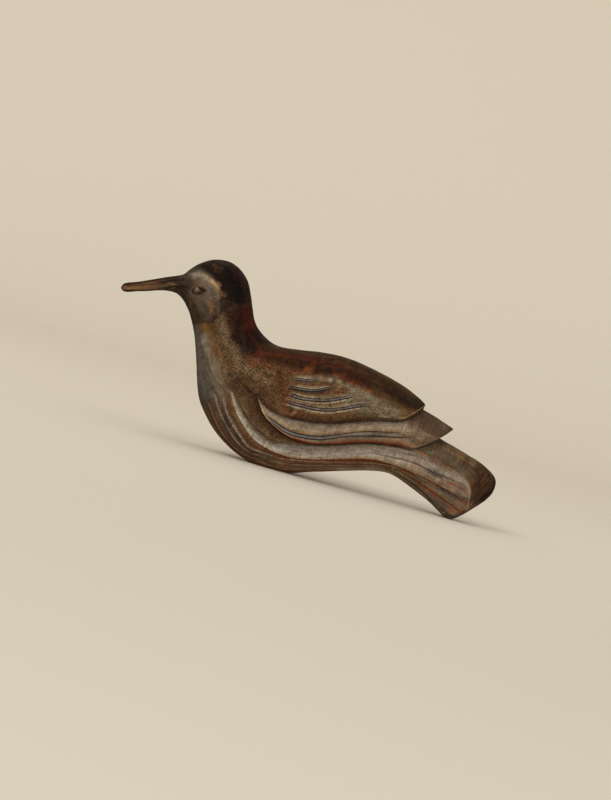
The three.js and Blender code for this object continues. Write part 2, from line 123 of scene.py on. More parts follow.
@dataclass(frozen=True)
class Outline:
    """The bird's side view as ribs, in shares: top along and up, bottom along and up, half width."""

    length: float = 270.0
    front: Places = (
        (0, 0, 0, 0, 0),
        (0.8, 1.1, 0.8, -0.9, 0.8),
        (5.1, 1.7, 5.1, -0.9, 1.1),
        (11.7, 2.8, 11.7, -0.7, 1.6),
        (16.9, 3.7, 14.5, -1.3, 3.2),
        (18.4, 4.9, 15.7, -2.1, 3.9),
        (21.1, 6.5, 16.8, -3.5, 4.7),
        (25.1, 7.5, 17.6, -5.1, 5.3),
        (29.1, 6.9, 18.3, -6.7, 5.6),
        (31.7, 5.1, 18.8, -8.5, 5.7),
        (33.9, 1.6, 19.3, -10.7, 5.6),
        (34.7, -2.1, 19.7, -13.3, 5.5),
        (36.1, -9.9, 20.1, -19.7, 6.5),
        (39.7, -14.2, 20.5, -27.2, 9),
        (42.4, -15.6, 21.3, -30.9, 10.1),
        (47.7, -16.5, 25.6, -38.9, 11.6),
    )
    back: Places = (
        (53.1, -17.1, 33.1, -45.7, 12),
        (58.4, -18.1, 42.4, -49.1, 11.7),
        (63.7, -20, 51.7, -49, 11.1),
        (74.4, -25.5, 65.9, -48.7, 9.2),
        (79.2, -29.1, 70.7, -49.2, 8.5),
        (81.2, -31.1, 72.8, -50.1, 8.2),
    )
    wing: Places = ((83.5, -34.1, 75.7, -52, 7.8), (88.7, -37.6, 80.3, -55.5, 7.3))
    tail: Places = (
        (86.4, -40.9, 81.9, -56.8, 7.1),
        (91.7, -44, 84.8, -59.7, 6.7),
        (97.1, -47.6, 86.9, -61.5, 6.1),
        (99.9, -51.2, 89.3, -61.3, 4.9),
        (99.2, -54.4, 93.6, -58.9, 3.2),
        (97.1, -56.8, 97.1, -56.8, 0),
    )
    tail_root: tuple[float, float] = (84.7, -39.9)
    head_roundness: float = 2.1
    body_roundness: float = 2.3
    wing_roundness: float = 1.75
    tail_roundness: float = 2.7

    @property
    def share(self) -> float:
        """Gives one share in millimetres."""
        return self.length / 100

    @property
    def shoulder(self) -> int:
        """Gives the rib where the coverts and the wing start."""
        return len(self.front) - 1

    @property
    def covert_tip(self) -> int:
        """Gives the rib at the tip of the coverts."""
        return self.shoulder + len(self.back)

    @property
    def wing_tip(self) -> int:
        """Gives the rib at the tip of the wing."""
        return self.covert_tip + len(self.wing)

    @property
    def tail_end(self) -> int:
        """Gives the last rib."""
        return self.wing_tip + len(self.tail)

    def keel(self, rib: np.ndarray) -> np.ndarray:
        """Gives the low outline at ribs, as along, up and half width in millimetres."""
        ribs = np.array([*self.front, *self.back, *self.wing, *self.tail], float)
        return curve_points(ribs[:, 2:5] * self.share, rib / self.tail_end)


@dataclass(frozen=True)
class Steps:
    """How deep each layer of feathers steps down to the next, in millimetres."""

    covert: float = 1.9
    covert_tip: float = 4.0
    wing: float = 2.0


@dataclass
class Sections:
    """The cross-sections at a list of stations, for three nested layers: coverts, wing and body."""

    outline: Outline
    steps: Steps
    rib: np.ndarray
    present: np.ndarray
    top: np.ndarray = field(init=False)
    bottom: np.ndarray = field(init=False)
    half: np.ndarray = field(init=False)
    roundness: np.ndarray = field(init=False)

    def __post_init__(self) -> None:
        """Works out every section from the outline."""
        out = self.outline
        rib = self.rib
        keel = out.keel(rib)
        self.bottom = keel[:, :2]
        grown = smooth(between(rib, out.shoulder, out.shoulder + 2))
        at_tip = smooth(between(rib, out.covert_tip - 3, out.covert_tip))
        step = mix(self.steps.covert, self.steps.covert_tip, at_tip)
        covert = np.where(rib > out.covert_tip, 0, grown * step)
        wing = np.where(rib > out.wing_tip, 0, grown * self.steps.wing)
        self.half = np.stack([keel[:, 2] + wing + covert, keel[:, 2] + wing, keel[:, 2]])
        self.top = np.stack(self._tops(covert))
        self.roundness = np.full(len(rib), out.head_roundness)
        for roundness, first, last in (
            (out.body_roundness, out.shoulder - 5, out.shoulder),
            (out.wing_roundness, out.shoulder + 2, out.covert_tip),
            (out.tail_roundness, out.wing_tip, out.wing_tip + 2),
        ):
            self.roundness = mix(self.roundness, roundness, smooth(between(rib, first, last)))

    def _tops(self, covert: np.ndarray) -> list[np.ndarray]:
        """Gives the top line of each layer, with what lies hidden under the layer above."""
        out = self.outline
        unit = out.share
        back_line = np.array([*out.front, *out.back], float)[:, :2] * unit
        back = curve_points(back_line, between(self.rib, 0, out.covert_tip))
        tip = back_line[-1]
        below = out.keel(np.array([float(out.covert_tip)]))[:, :2]
        start = self._step_down(tip[None], below, self.steps.covert_tip)
        wing_line = np.vstack([start, np.array(out.wing, float)[:, :2] * unit])
        behind = curve_points(wing_line, between(self.rib, out.covert_tip, out.wing_tip))
        under = self._step_down(back, self.bottom, covert)
        wing = np.where((self.rib <= out.covert_tip)[:, None], under, behind)
        root = np.array(out.tail_root) * unit
        shift = root - np.array(out.wing[-1][:2]) * unit
        hidden = between(self.rib, out.shoulder, out.wing_tip)[:, None] ** 3
        tail_line = np.vstack([root, np.array(out.tail, float)[:, :2] * unit])
        open_tail = curve_points(tail_line, between(self.rib, out.wing_tip, out.tail_end))
        tail = np.where((self.rib <= out.wing_tip)[:, None], wing + shift * hidden, open_tail)
        return [back, wing, tail]

    @staticmethod
    def _step_down(top: np.ndarray, bottom: np.ndarray, depth: Number) -> np.ndarray:
        """Gives the points a depth below the tops, on their lines to the keel."""
        line = bottom - top
        size = np.maximum(np.linalg.norm(line, axis=1, keepdims=True), 1e-9)
        return top + line / size * np.reshape(depth, (-1, 1))

    def crossings(self, path: np.ndarray, layer: int) -> np.ndarray:
        """Finds where a carved line crosses each section in the side view.

        Args:
            path: points of the line, in millimetres.
            layer: the layer that it is cut into.

        Returns:
            The turn around each section, with nan where the line doesn't cross it.
        """
        top = self.top[layer]
        line = self.bottom - top
        rel = path[None] - top[:, None]
        side = rel[..., 0] * line[:, None, 1] - rel[..., 1] * line[:, None, 0]
        before, after = side[:, :-1], side[:, 1:]
        crossed = (before * after <= 0) & (before != after)
        part = np.where(crossed, before / np.where(crossed, before - after, 1.0), 0.0)
        hit = path[None, :-1] + (path[1:] - path[:-1])[None] * part[..., None]
        size = np.maximum((line**2).sum(1), 1e-9)[:, None]
        down = ((hit - top[:, None]) * line[:, None]).sum(2) / size
        crossed &= (down > -0.05) & (down < 1.05)
        first = crossed.argmax(1)
        found = np.take_along_axis(down, first[:, None], 1)[:, 0]
        turn = np.arccos(1 - 2 * np.clip(found, 0, 1))
        return np.where(crossed.any(1), turn, np.nan)

    def points(self, layer: np.ndarray, turn: np.ndarray, depth: Number) -> np.ndarray:
        """Gives points of the skin.

        Args:
            layer: the layer of each point, one row of points for each station.
            turn: the turn around the section, 0 on the back and pi on the keel.
            depth: how far in from the skin, along its normal in the section, in millimetres.

        Returns:
            The points as along, across and up, in millimetres.
        """
        station = np.arange(len(self.rib))[:, None]
        top = self.top[layer, station]
        line = self.bottom[:, None] - top
        half = self.half[layer, station]
        down = (1 - np.cos(turn)) / 2
        power = self.roundness[:, None]
        across = half * np.maximum(1 - np.abs(2 * down - 1) ** power, 0) ** (1 / power)
        height = np.maximum(np.linalg.norm(line, axis=2), 1e-9)
        inward = np.stack([-(2 * down - 1) / height, -across / np.maximum(half, 1e-9) ** 2], -1)
        inward /= np.maximum(np.linalg.norm(inward, axis=2, keepdims=True), 1e-9)
        depth = np.where((half > 1e-6) & (height > 1e-6), depth, 0.0)
        pushed = line / height[..., None] * (inward[..., 0] * depth)[..., None]
        side = top + line * down[..., None] + pushed
        across = np.maximum(across + inward[..., 1] * depth, 0)
        return np.stack([side[..., 0], across, side[..., 1]], -1)


def station_ribs(
    outline: Outline, steps: Steps, head_gap: float, gap: float
) -> tuple[np.ndarray, np.ndarray]:
    """Spaces stations evenly along the bird.

    Args:
        outline: the ribs.
        steps: the layers' steps.
        head_gap: distance between stations on the bill and head, in millimetres.
        gap: the same on the rest of the bird.

    Returns:
        The rib of each station, and how many layers lie over the body there. Where a layer ends in a tip, one
        station has it and the next, in the same place, is without it.
    """
    neck = outline.shoulder - 4
    marks = (
        (0, neck, 0, head_gap),
        (neck, outline.shoulder, 0, gap),
        (outline.shoulder, outline.covert_tip, 2, gap),
        (outline.covert_tip, outline.wing_tip, 1, gap),
        (outline.wing_tip, outline.tail_end, 0, gap),
    )
    ribs: list[float] = []
    layers: list[int] = []
    for first, last, count, spacing in marks:
        fine = np.linspace(first, last, STATION_PROBES)
        probe = Sections(outline, steps, fine, np.full(len(fine), count))
        level = 0 if last <= outline.covert_tip else 1 if last <= outline.wing_tip else 2
        above = np.linalg.norm(np.diff(probe.top[level], axis=0), axis=1)
        below = np.linalg.norm(np.diff(probe.bottom, axis=0), axis=1)
        walked = np.concatenate([[0], np.cumsum((above + below) / 2)])
        number = max(2, round(walked[-1] / spacing))
        placed = np.interp(np.linspace(0, walked[-1], number + 1), walked, fine)
        ribs += list(placed)
        layers += [count] * len(placed)
    return np.array(ribs), np.array(layers)


# The carving


class Layer(Enum):
    """The three nested surfaces, from the outside in."""

    COVERTS = 0
    WING = 1
    BODY = 2


@dataclass(frozen=True)
class CarvedLine:
    """A line cut along the flank: where it runs in the side view, and on which layer."""

    places: Places
    layer: Layer


COVERT_EDGE: Places = (
    (36.3, -27.9), (37.5, -29.8), (40.2, -32.2), (45.7, -34.1), (53.8, -35.3), (60.9, -35.1), (67.7, -34.6),
    (73.8, -34.6), (75.5, -34.3), (77.9, -33.1), (81.2, -31.1),
)
WING_EDGE: Places = (
    (36.3, -27.9), (37.1, -30.4), (38.4, -33.6), (43.9, -38.7), (50.7, -41.1), (57.5, -41.2), (64.3, -40.8),
    (71.1, -41.3), (77.9, -42.2), (79.7, -41.7), (84.7, -39.8), (88.7, -37.6),
)
COVE_LINE = CarvedLine(
    ((39.6, -33.9), (43.9, -37), (47.3, -38.3), (52.3, -39), (58.1, -38.6), (64.3, -37.8), (70.4, -38),
    (74.4, -38.3)), Layer.WING,
)
BEAD_LINE = CarvedLine(
    ((39.2, -34.6), (43.9, -38), (47.3, -39.2), (53.3, -40), (59.2, -39.1), (67.7, -39.1), (74.4, -39.4),
    (81.3, -39.1)), Layer.WING,
)
WING_ROOF = CarvedLine(((75.5, -34.4), (77.6, -36.1), (84.7, -39.6)), Layer.WING)
FLUTE_TOP = CarvedLine(
    ((29.3, -25.3), (30.7, -28.1), (33.4, -33), (36.1, -36.5), (40.2, -39.8), (45.6, -41.1), (54.1, -41.9),
    (64.3, -41.5), (71.1, -41.9), (77.6, -42.7), (81.1, -44.1), (86.4, -47.1), (90.4, -49.3), (92.5, -51.5),
    (93.2, -53.7), (92.8, -56), (91.6, -59.9)), Layer.BODY,
)
FLUTE_MIDDLE = CarvedLine(
    ((29.7, -26.9), (31.7, -31.7), (35.5, -37.9), (40.3, -41.4), (47.7, -43.2), (55.7, -43.6),
    (63.7, -43.4), (71.7, -45.1), (77.1, -46.1), (82.4, -48.5), (87.7, -50.7), (91.7, -52.5), (92.3, -54.4),
    (91.6, -59.9)), Layer.BODY,
)
FLUTE_BOTTOM = CarvedLine(
    ((29.6, -27.6), (30.1, -30.9), (32.1, -35.2), (34.8, -39.3), (37.5, -41.6), (43.9, -44.6),
    (50.7, -45.5), (60.8, -45.4), (67.7, -45.7), (71.7, -46.9), (77.1, -48.9), (82.4, -51.5), (87.7, -54.4),
    (91.5, -56.7)), Layer.BODY,
)
BREAST_LINES = (
    CarvedLine(
        ((26.9, -27.3), (27.7, -31.7), (29.3, -35.5), (31.5, -39), (33.7, -42), (37.5, -43.6),
        (42.9, -45.3), (48.3, -45.9), (59.7, -46.4), (67.7, -46.8), (73.1, -48), (77.1, -50.4),
        (82.4, -53.9), (86.4, -56.5), (90.4, -59.5)), Layer.BODY,
    ),
    CarvedLine(
        ((25.1, -28.7), (26.1, -32.5), (28, -36.3), (30.9, -40.9), (34.4, -43.7), (37.5, -44.7),
        (42.9, -46.5), (48.3, -47), (59.7, -47.2), (67.7, -47.5), (71.7, -48.5), (77.1, -51.6),
        (82.4, -55.7), (87.5, -60.3)), Layer.BODY,
    ),
    CarvedLine(
        ((23.6, -31.1), (25, -35.2), (27.4, -39.3), (30.4, -42.6), (34.4, -44.9), (37.2, -45.8),
        (40.2, -47.2), (48.3, -48.1), (58, -48.1)), Layer.BODY,
    ),
)
COVERT_FEATHERS = (
    (CarvedLine(((45.3, -23.8), (50.4, -24.3), (53.1, -24)), Layer.COVERTS), 0.3),
    (CarvedLine(((44.3, -25.9), (51.2, -26.9), (56.8, -26)), Layer.COVERTS), 0.25),
    (CarvedLine(((44.3, -27.7), (48.9, -29.1), (55.5, -29.4), (62.9, -28.1)), Layer.COVERTS), 0.42),
    (CarvedLine(((43.5, -29.5), (48.6, -31), (54.7, -32), (65.6, -30.6)), Layer.COVERTS), 0.4),
)


@dataclass(frozen=True)
class Depths:
    """Depths and widths of the hollows, ridges and knife lines, in millimetres; the flute's end is in shares.
    """

    groove: float = 0.7
    feather_width: float = 1.0
    wing_width: float = 0.9
    body_width: float = 1.0
    body_lean: float = 2.6
    middle_width: float = 1.2
    middle_lean: float = 2.4
    middle_dirt_and_shade: float = 0.35
    cove: float = 1.2
    flute: float = 1.9
    tail_flute: float = 1.0
    roof: float = 1.1
    bead: float = 0.5
    tail_line: float = 0.9
    lip_round: float = 0.3
    lip_width: float = 0.7
    foot_cut: float = 0.35
    foot_width: float = 0.6
    foot_shade: float = 1.4
    flute_end: float = 92.8
    flute_ease: float = 3.4


@dataclass(frozen=True)
class MeshDensity:
    """How finely the skin is divided: gaps and offsets in millimetres, and counts of plain rows."""

    head_gap: float = 0.75
    station_gap: float = 1.15
    ease: float = 36.0
    fade: float = 7.0
    groove_offsets: tuple[float, ...] = (-0.62, -0.28, 0.0, 0.3, 0.75)
    flow_offsets: tuple[float, ...] = (-0.75, -0.35, 0.0, 0.45, 1.3)
    lip_offsets: tuple[float, ...] = (-0.7, -0.35, -0.12)
    foot_offsets: tuple[float, ...] = (0.15, 0.5)
    covert_rows: tuple[int, ...] = (12, 1, 1, 1, 1, 1, 1, 1, 3, 0)
    wing_rows: tuple[int, ...] = (0, 2, 8, 1, 4, 0)
    body_rows: tuple[int, ...] = (0, 4, 7, 7, 1, 1, 2, 12)


class Carving:
    """Lays rows over every station and gives each of their points its depth."""

    PATH_POINTS = 241
    PROBE = 0.02
    END_GAP = 0.005
    LEAST_SPEED = 0.5

    def __init__(self, outline: Outline, steps: Steps, depths: Depths, density: MeshDensity) -> None:
        """Lays out the stations, the layers' edges, the carved lines and the rows.

        Args:
            outline: the ribs.
            steps: the layers' steps.
            depths: depths of the hollows.
            density: how finely the skin is divided.
        """
        self.outline = outline
        self.depths = depths
        self.density = density
        rib, present = station_ribs(outline, steps, density.head_gap, density.station_gap)
        self.rib = rib
        self.present = present
        self.sections = Sections(outline, steps, rib, present)
        self.walked = self._walked()
        self.top_turn = np.zeros(len(rib))
        self.keel_turn = np.full(len(rib), math.pi)
        self.covert_edge = self._edge(COVERT_EDGE, Layer.COVERTS, outline.covert_tip)
        wing_edge = self._edge(WING_EDGE, Layer.WING, outline.wing_tip)
        self.wing_edge = np.maximum(wing_edge, self.covert_edge)
        self._lay_lines()
        self._lay_rows()

    def _walked(self) -> np.ndarray:
        """Gives each station's distance from the bill tip, in millimetres."""
        tops = self.sections.top[0]
        steps = np.linalg.norm(np.diff(tops, axis=0), axis=1) / 2
        steps += np.linalg.norm(np.diff(self.sections.bottom, axis=0), axis=1) / 2
        return np.concatenate([[0], np.cumsum(steps)])

    def _path(self, places: Places) -> np.ndarray:
        """Gives points along a carved line, in millimetres."""
        along = np.linspace(0, 1, self.PATH_POINTS)
        return curve_points(np.array(places, float) * self.outline.share, along)

    def _edge(self, places: Places, layer: Layer, last_rib: int) -> np.ndarray:
        """Gives the turn of a layer's lower edge at every station."""
        out = self.outline
        found = self.sections.crossings(self._path(places), layer.value)
        at_shoulder = int(np.argmin(np.abs(self.rib - out.shoulder)))
        start = self.sections.crossings(self._path(COVERT_EDGE), 0)[at_shoulder]
        start = HEAD_SEAM if np.isnan(start) else start
        before = mix(HEAD_SEAM, start, smooth(between(self.rib, 0, out.shoulder)))
        turns = np.where(np.isnan(found), start, found)
        gone = (self.rib >= last_rib) | (self.present < 2 - layer.value)
        turns = np.where(gone, 0.0, turns)
        return np.where(self.rib <= out.shoulder, before, turns)

    def _line(
        self, line: CarvedLine, first: np.ndarray, last: np.ndarray, share: float
    ) -> tuple[np.ndarray, np.ndarray]:
        """Follows one carved line over all stations.

        Args:
            line: the line.
            first: turn at which its strip starts, for every station.
            last: turn at which its strip ends.
            share: where in the strip its rows lie in front of the line.

        Returns:
            The turns, and how far the line is cut in, from 0 to 1.
        """
        found = self.sections.crossings(self._path(line.places), line.layer.value)
        hit = np.flatnonzero(~np.isnan(found))
        start, end = hit[0], hit[-1]
        held = np.interp(np.arange(len(found)), hit, found[hit])
        home = mix(first, last, share)
        ahead = (self.walked[start] - self.walked) / self.density.ease
        turns = np.where(np.arange(len(found)) < start, mix(held, home, smooth(ahead)), held)
        reach = np.minimum(self.walked - self.walked[start], self.walked[end] - self.walked)
        there = np.clip((reach + 1) / self.density.fade, 0, 1)
        return np.clip(turns, first, last), there

    def _lay_lines(self) -> None:
        """Follows every carved line."""
        edge, wing, keel = self.covert_edge, self.wing_edge, self.keel_turn
        count = len(COVERT_FEATHERS) + 3
        self.feathers = [
            (*self._line(line, self.top_turn, edge, (i + 3) / count), thick)
            for i, (line, thick) in enumerate(COVERT_FEATHERS)
        ]
        self.cove = self._line(COVE_LINE, edge, wing, share=0.6)
        self.bead = self._line(BEAD_LINE, edge, wing, share=0.75)
        self.roof = self._line(WING_ROOF, edge, wing, share=0.0)
        flow = (FLUTE_TOP, FLUTE_MIDDLE, FLUTE_BOTTOM, *BREAST_LINES)
        spread = len(flow) + 2
        self.flow = [self._line(line, wing, keel, (i + 1) / spread) for i, line in enumerate(flow)]

    def speed(self, layer: int, turn: np.ndarray) -> np.ndarray:
        """Gives how many millimetres of skin one unit of turn takes, at one turn for each station."""
        index = np.full((len(self.rib), 1), layer)
        before = np.maximum(turn - self.PROBE, self.END_GAP)[:, None]
        after = np.minimum(turn + self.PROBE, math.pi - self.END_GAP)[:, None]
        near, far = (self.sections.points(index, place, 0.0)[:, 0] for place in (before, after))
        return np.maximum(np.linalg.norm(far - near, axis=1) / (2 * self.PROBE), self.LEAST_SPEED)

    def _strip(
        self,
        layer: int,
        first: np.ndarray,
        last: np.ndarray,
        parts: list[tuple[np.ndarray, tuple[float, ...]]],
        between_rows: tuple[int, ...],
    ) -> np.ndarray:
        """Lays the rows of one layer: a few at each line, and even ones between.

        Args:
            layer: the layer's number.
            first: turn at which the strip starts.
            last: turn at which it ends.
            parts: each line's turns and the offsets of its rows, in millimetres.
            between_rows: how many plain rows lie before each line and after the last.

        Returns:
            Turns, one column for each row.
        """
        columns = [first]
        for (turns, offsets), count in zip(parts, between_rows):
            rows = [turns + offset / self.speed(layer, turns) for offset in offsets]
            start = columns[-1]
            columns += [mix(start, rows[0], (k + 1) / (count + 1)) for k in range(count)]
            columns += rows
        start = columns[-1]
        count = between_rows[-1]
        columns += [mix(start, last, (k + 1) / (count + 1)) for k in range(count)]
        columns += [last]
        grid = np.clip(np.stack(columns, 1), first[:, None], last[:, None])
        return np.maximum.accumulate(grid, axis=1)

    def _lay_rows(self) -> None:
        """Lays the rows of the three layers."""
        density = self.density
        fine, flow = density.groove_offsets, density.flow_offsets
        lip, foot = density.lip_offsets, density.foot_offsets
        covert_parts = []
        for turns, _, thick in self.feathers:
            half = thick * self.outline.share / self.speed(0, turns)
            covert_parts += [(turns - half, fine), (turns + half, fine)]
        covert_parts.append((self.covert_edge, lip))
        wing_parts = [
            (self.covert_edge, foot),
            (self.roof[0], (0.0,)),
            (self.cove[0], fine),
            (self.bead[0], fine),
            (self.wing_edge, lip),
        ]
        body_parts = [(self.wing_edge, foot)] + [(turns, flow) for turns, _ in self.flow]
        strips = [
            self._strip(0, self.top_turn, self.covert_edge, covert_parts, density.covert_rows),
            self._strip(1, self.covert_edge, self.wing_edge, wing_parts, density.wing_rows),
            self._strip(2, self.wing_edge, self.keel_turn, body_parts, density.body_rows),
        ]
        self.turn = np.concatenate(strips, 1)
        self.row_layer = np.concatenate([np.full(s.shape[1], i) for i, s in enumerate(strips)])
        self.row_start = np.cumsum([0] + [s.shape[1] for s in strips])
        behind = self.rib[:, None] > self.outline.shoulder
        self.gone = behind & (self.present[:, None] < 2 - self.row_layer[None])
        self.used_layer = np.where(self.gone, (2 - self.present)[:, None], self.row_layer[None])
        self.turn = np.where(self.gone, 0.0, self.turn)

    def _distance(self, layer: int, line: np.ndarray) -> np.ndarray:
        """Gives every row's distance below a line, in millimetres along the skin."""
        first, last = self.row_start[layer], self.row_start[layer + 1]
        return (self.turn[:, first:last] - line[:, None]) * self.speed(layer, line)[:, None]

    @staticmethod
    def _cut(distance: np.ndarray, width: float, depth: Number, lean: float = 1.0) -> np.ndarray:
        """Gives the depth of a knife cut: steep above its line, and as gentle as the lean says below it."""
        above = np.clip(1 + distance / (width / 2), 0, 1)
        below = np.clip(1 - distance / (width / 2 * lean), 0, 1)
        shape = np.where(distance < 0, above, below)
        return np.reshape(depth, (-1, 1)) * shape**1.25

    def depth(self) -> tuple[np.ndarray, np.ndarray]:
        """Works out the depth of the carving at every row.

        Returns:
            The depth in millimetres, and a darkening mask from 0 to 1: dark grime and painted shade in the
            grooves, and painted shade below the layers' edges.
        """
        deep = self.depths
        shape = self.turn.shape
        total = np.zeros(shape)
        dirt_and_shade = np.zeros(shape)
        rows = [slice(self.row_start[k], self.row_start[k + 1]) for k in range(3)]
        for turns, there, thick in self.feathers:
            half = thick * self.outline.share / self.speed(0, turns)
            for line in (turns - half, turns + half):
                cut = self._cut(self._distance(0, line), deep.feather_width, deep.groove * there)
                total[:, rows[0]] = np.maximum(total[:, rows[0]], cut)
        # The feathers' grooves darken the paint: dark grime and painted shade in them.
        dirt_and_shade[:, rows[0]] = total[:, rows[0]] / deep.groove
        self._carve_wing(total, dirt_and_shade, rows[1])
        self._carve_body(total, dirt_and_shade, rows[2])
        self._carve_edges(total, dirt_and_shade, rows)
        total[self.gone] = 0
        return total, np.clip(dirt_and_shade, 0, 1)

    def _carve_wing(self, total: np.ndarray, dirt_and_shade: np.ndarray, rows: slice) -> None:
        """Adds the long feathers' roof, cove, grooves and bead."""
        deep = self.depths
        turn = self.turn[:, rows]
        roof, cove, bead = (line[0][:, None] for line in (self.roof, self.cove, self.bead))
        edge, wing = self.covert_edge[:, None], self.wing_edge[:, None]
        above_roof = between(turn, edge, roof + 1e-6)
        up_roof = np.where(turn < roof, above_roof, 1 - between(turn, roof, roof + 0.5))
        hollow = np.sin(math.pi * between(turn, roof, cove + 1e-6)) * deep.cove * self.cove[1][:, None]
        swell = np.sin(math.pi * between(turn, bead, wing + 1e-6)) * deep.bead * self.bead[1][:, None]
        near_cove = self._cut(self._distance(1, self.cove[0]), deep.wing_width, deep.groove * self.cove[1])
        near_bead = self._cut(self._distance(1, self.bead[0]), deep.wing_width, deep.groove * self.bead[1])
        groove = np.maximum(near_cove, near_bead)
        total[:, rows] = hollow - swell - up_roof * deep.roof * self.roof[1][:, None] + groove
        # The wing's grooves darken the paint: dark grime and painted shade in them.
        dirt_and_shade[:, rows] = groove / deep.groove

    def _carve_body(self, total: np.ndarray, dirt_and_shade: np.ndarray, rows: slice) -> None:
        """Adds the long flute, and the lines that run from the breast into the tail's feather edges."""
        deep = self.depths
        out = self.outline
        turn = self.turn[:, rows]
        in_tail = smooth(between(self.rib, out.covert_tip - 4, out.covert_tip))
        top, middle, bottom = self.flow[:3]
        share = between(turn, top[0][:, None], bottom[0][:, None] + 1e-6)
        flute = mix(deep.flute, deep.tail_flute, in_tail) * np.minimum(top[1], bottom[1])
        along = self.sections.points(self.used_layer, self.turn, 0.0)[:, rows, 0] / out.share
        ended = smooth((deep.flute_end - along) / deep.flute_ease)
        hollow = flute[:, None] * 4 * share * (1 - share) * ended
        middle_depth = deep.tail_line * middle[1] * in_tail
        shallow = self._cut(self._distance(2, middle[0]), deep.middle_width, middle_depth, deep.middle_lean)
        shallow *= smooth((deep.flute_end - deep.flute_ease - along) / deep.flute_ease)
        # The middle line and the grooves darken the paint: dark grime and painted shade in them.
        groove = shallow * deep.middle_dirt_and_shade
        for turns, there in (bottom, *self.flow[3:]):
            depth = mix(deep.groove, deep.tail_line, in_tail) * there
            cut = self._cut(self._distance(2, turns), deep.body_width, depth, deep.body_lean)
            groove = np.maximum(groove, cut)
        total[:, rows] = hollow + np.maximum(groove, shallow)
        dirt_and_shade[:, rows] = groove / deep.groove

    def _carve_edges(self, total: np.ndarray, dirt_and_shade: np.ndarray, rows: list[slice]) -> None:
        """Rounds the lips of the layers' edges, carves in at their feet, and paints shade below the edges
        into the darkening mask.
        """
        deep = self.depths
        edges = (
            (0, self.covert_edge, self.outline.covert_tip),
            (1, self.wing_edge, self.outline.wing_tip),
        )
        for layer, edge, tip in edges:
            behind = ((self.rib > self.outline.shoulder) & (self.rib <= tip))[:, None]
            lip = np.clip(1 + self._distance(layer, edge) / deep.lip_width, 0, 1) ** 2 * deep.lip_round
            total[:, rows[layer]] += np.where(behind, lip, 0)
            below = self._distance(layer + 1, edge)
            foot = np.clip(1 - below / deep.foot_width, 0, 1) * deep.foot_cut
            total[:, rows[layer + 1]] += np.where(behind, foot, 0)
            # Painted shade: the paint is darkened in a band below each layer's overhanging edge, where its
            # shadow falls.
            shade = np.where(behind, np.clip(1 - below / deep.foot_shade, 0, 1), 0)
            dirt_and_shade[:, rows[layer + 1]] = np.maximum(dirt_and_shade[:, rows[layer + 1]], shade)


# How the bird lies


@dataclass
class Rest:
    """The turn and lift from the drawn pose to the bird lying on its belly and its tail's low corner."""

    STEEPEST = 0.6
    HALVINGS = 60
    KEEL_POINTS = 800

    outline: Outline
    belly_flat: float = 1.5
    tail_flat: float = 0.4
    lean: float = field(init=False)
    plane: float = field(init=False)

    def __post_init__(self) -> None:
        """Finds the lean at which both flats lie on one plane."""
        low, high = 0.0, self.STEEPEST
        for _ in range(self.HALVINGS):
            middle = (low + high) / 2
            belly, tail = self._lows(middle)
            low, high = (middle, high) if tail < belly else (low, middle)
        self.lean = (low + high) / 2
        self.plane = self._lows(self.lean)[0]

    def _lows(self, lean: float) -> tuple[float, float]:
        """Gives the planes of the belly's and the tail's flats at a lean."""
        out = self.outline
        planes = []
        for first, last, flat in (
            (0, out.covert_tip, self.belly_flat),
            (out.covert_tip, out.tail_end, self.tail_flat),
        ):
            keel = out.keel(np.linspace(first, last, self.KEEL_POINTS))
            planes.append((keel[:, 0] * math.sin(lean) + keel[:, 1] * math.cos(lean)).min() + flat)
        return planes[0], planes[1]

    def lay(self, points: np.ndarray) -> np.ndarray:
        """Turns drawn points, as along, across and up, to the pose at rest, with the flats cut."""
        along, across, up = points[..., 0], points[..., 1], points[..., 2]
        level = along * math.cos(self.lean) - up * math.sin(self.lean)
        height = along * math.sin(self.lean) + up * math.cos(self.lean) - self.plane
        return np.stack([level, across, np.maximum(height, 0)], -1)


# Paint


def srgb(colour: str) -> np.ndarray:
    """Turns a hex colour into values from 0 to 1."""
    return np.array([int(colour[i : i + 2], 16) for i in (1, 3, 5)], float) / 255


def light(value: np.ndarray) -> np.ndarray:
    """Turns display values into linear light."""
    return np.where(value <= 0.04045, value / 12.92, ((value + 0.055) / 1.055) ** 2.4)


def linear(colour: str) -> tuple[float, ...]:
    """Turns a hex colour into linear light values, with a full alpha."""
    return (*light(srgb(colour)), 1)


class Grain:
    """Smooth noise on a seeded lattice, for edges of paint that wander as a hand does."""

    SIZE = 32

    def __init__(self, seed: int) -> None:
        """Fills the lattice."""
        self.lattice = np.random.default_rng(seed).random((self.SIZE,) * 3) * 2 - 1

    def at(self, points: np.ndarray, size: float) -> np.ndarray:
        """Gives noise from -1 to 1.

        Args:
            points: the places, in millimetres.
            size: width of one patch of the noise, in millimetres.

        Returns:
            One value for each place.
        """
        where = points / size
        cell = np.floor(where).astype(int)
        part = smooth(where - cell)
        total = np.zeros(len(points))
        for corner in np.ndindex(2, 2, 2):
            index = tuple(((cell + corner) % self.SIZE).T)
            weight = np.prod(np.where(np.array(corner) == 1, part, 1 - part), axis=1)
            total += self.lattice[index] * weight
        return total


@dataclass(frozen=True)
class Stroke:
    """One brush stroke on the squared side view: an open line, or a closed patch if its width is 0."""

    colour: str
    places: Places
    width: float = 0.0
    soft: float = 2.0
    strength: float = 1.0
    wander: float = 1.0
    broken: float = 0.3
    layers: tuple[int, ...] = (0, 1, 2)


def on_layer(layer: Layer, *strokes: Stroke) -> tuple[Stroke, ...]:
    """Keeps strokes to one layer."""
    return tuple(replace(stroke, layers=(layer.value,)) for stroke in strokes)


@dataclass(frozen=True)
class Trim:
    """A thin line of paint that keeps beside a carved line."""

    colour: str
    line: str
    offset: float
    width: float
    strength: float
    first: float
    last: float
    broken: float = 0.35


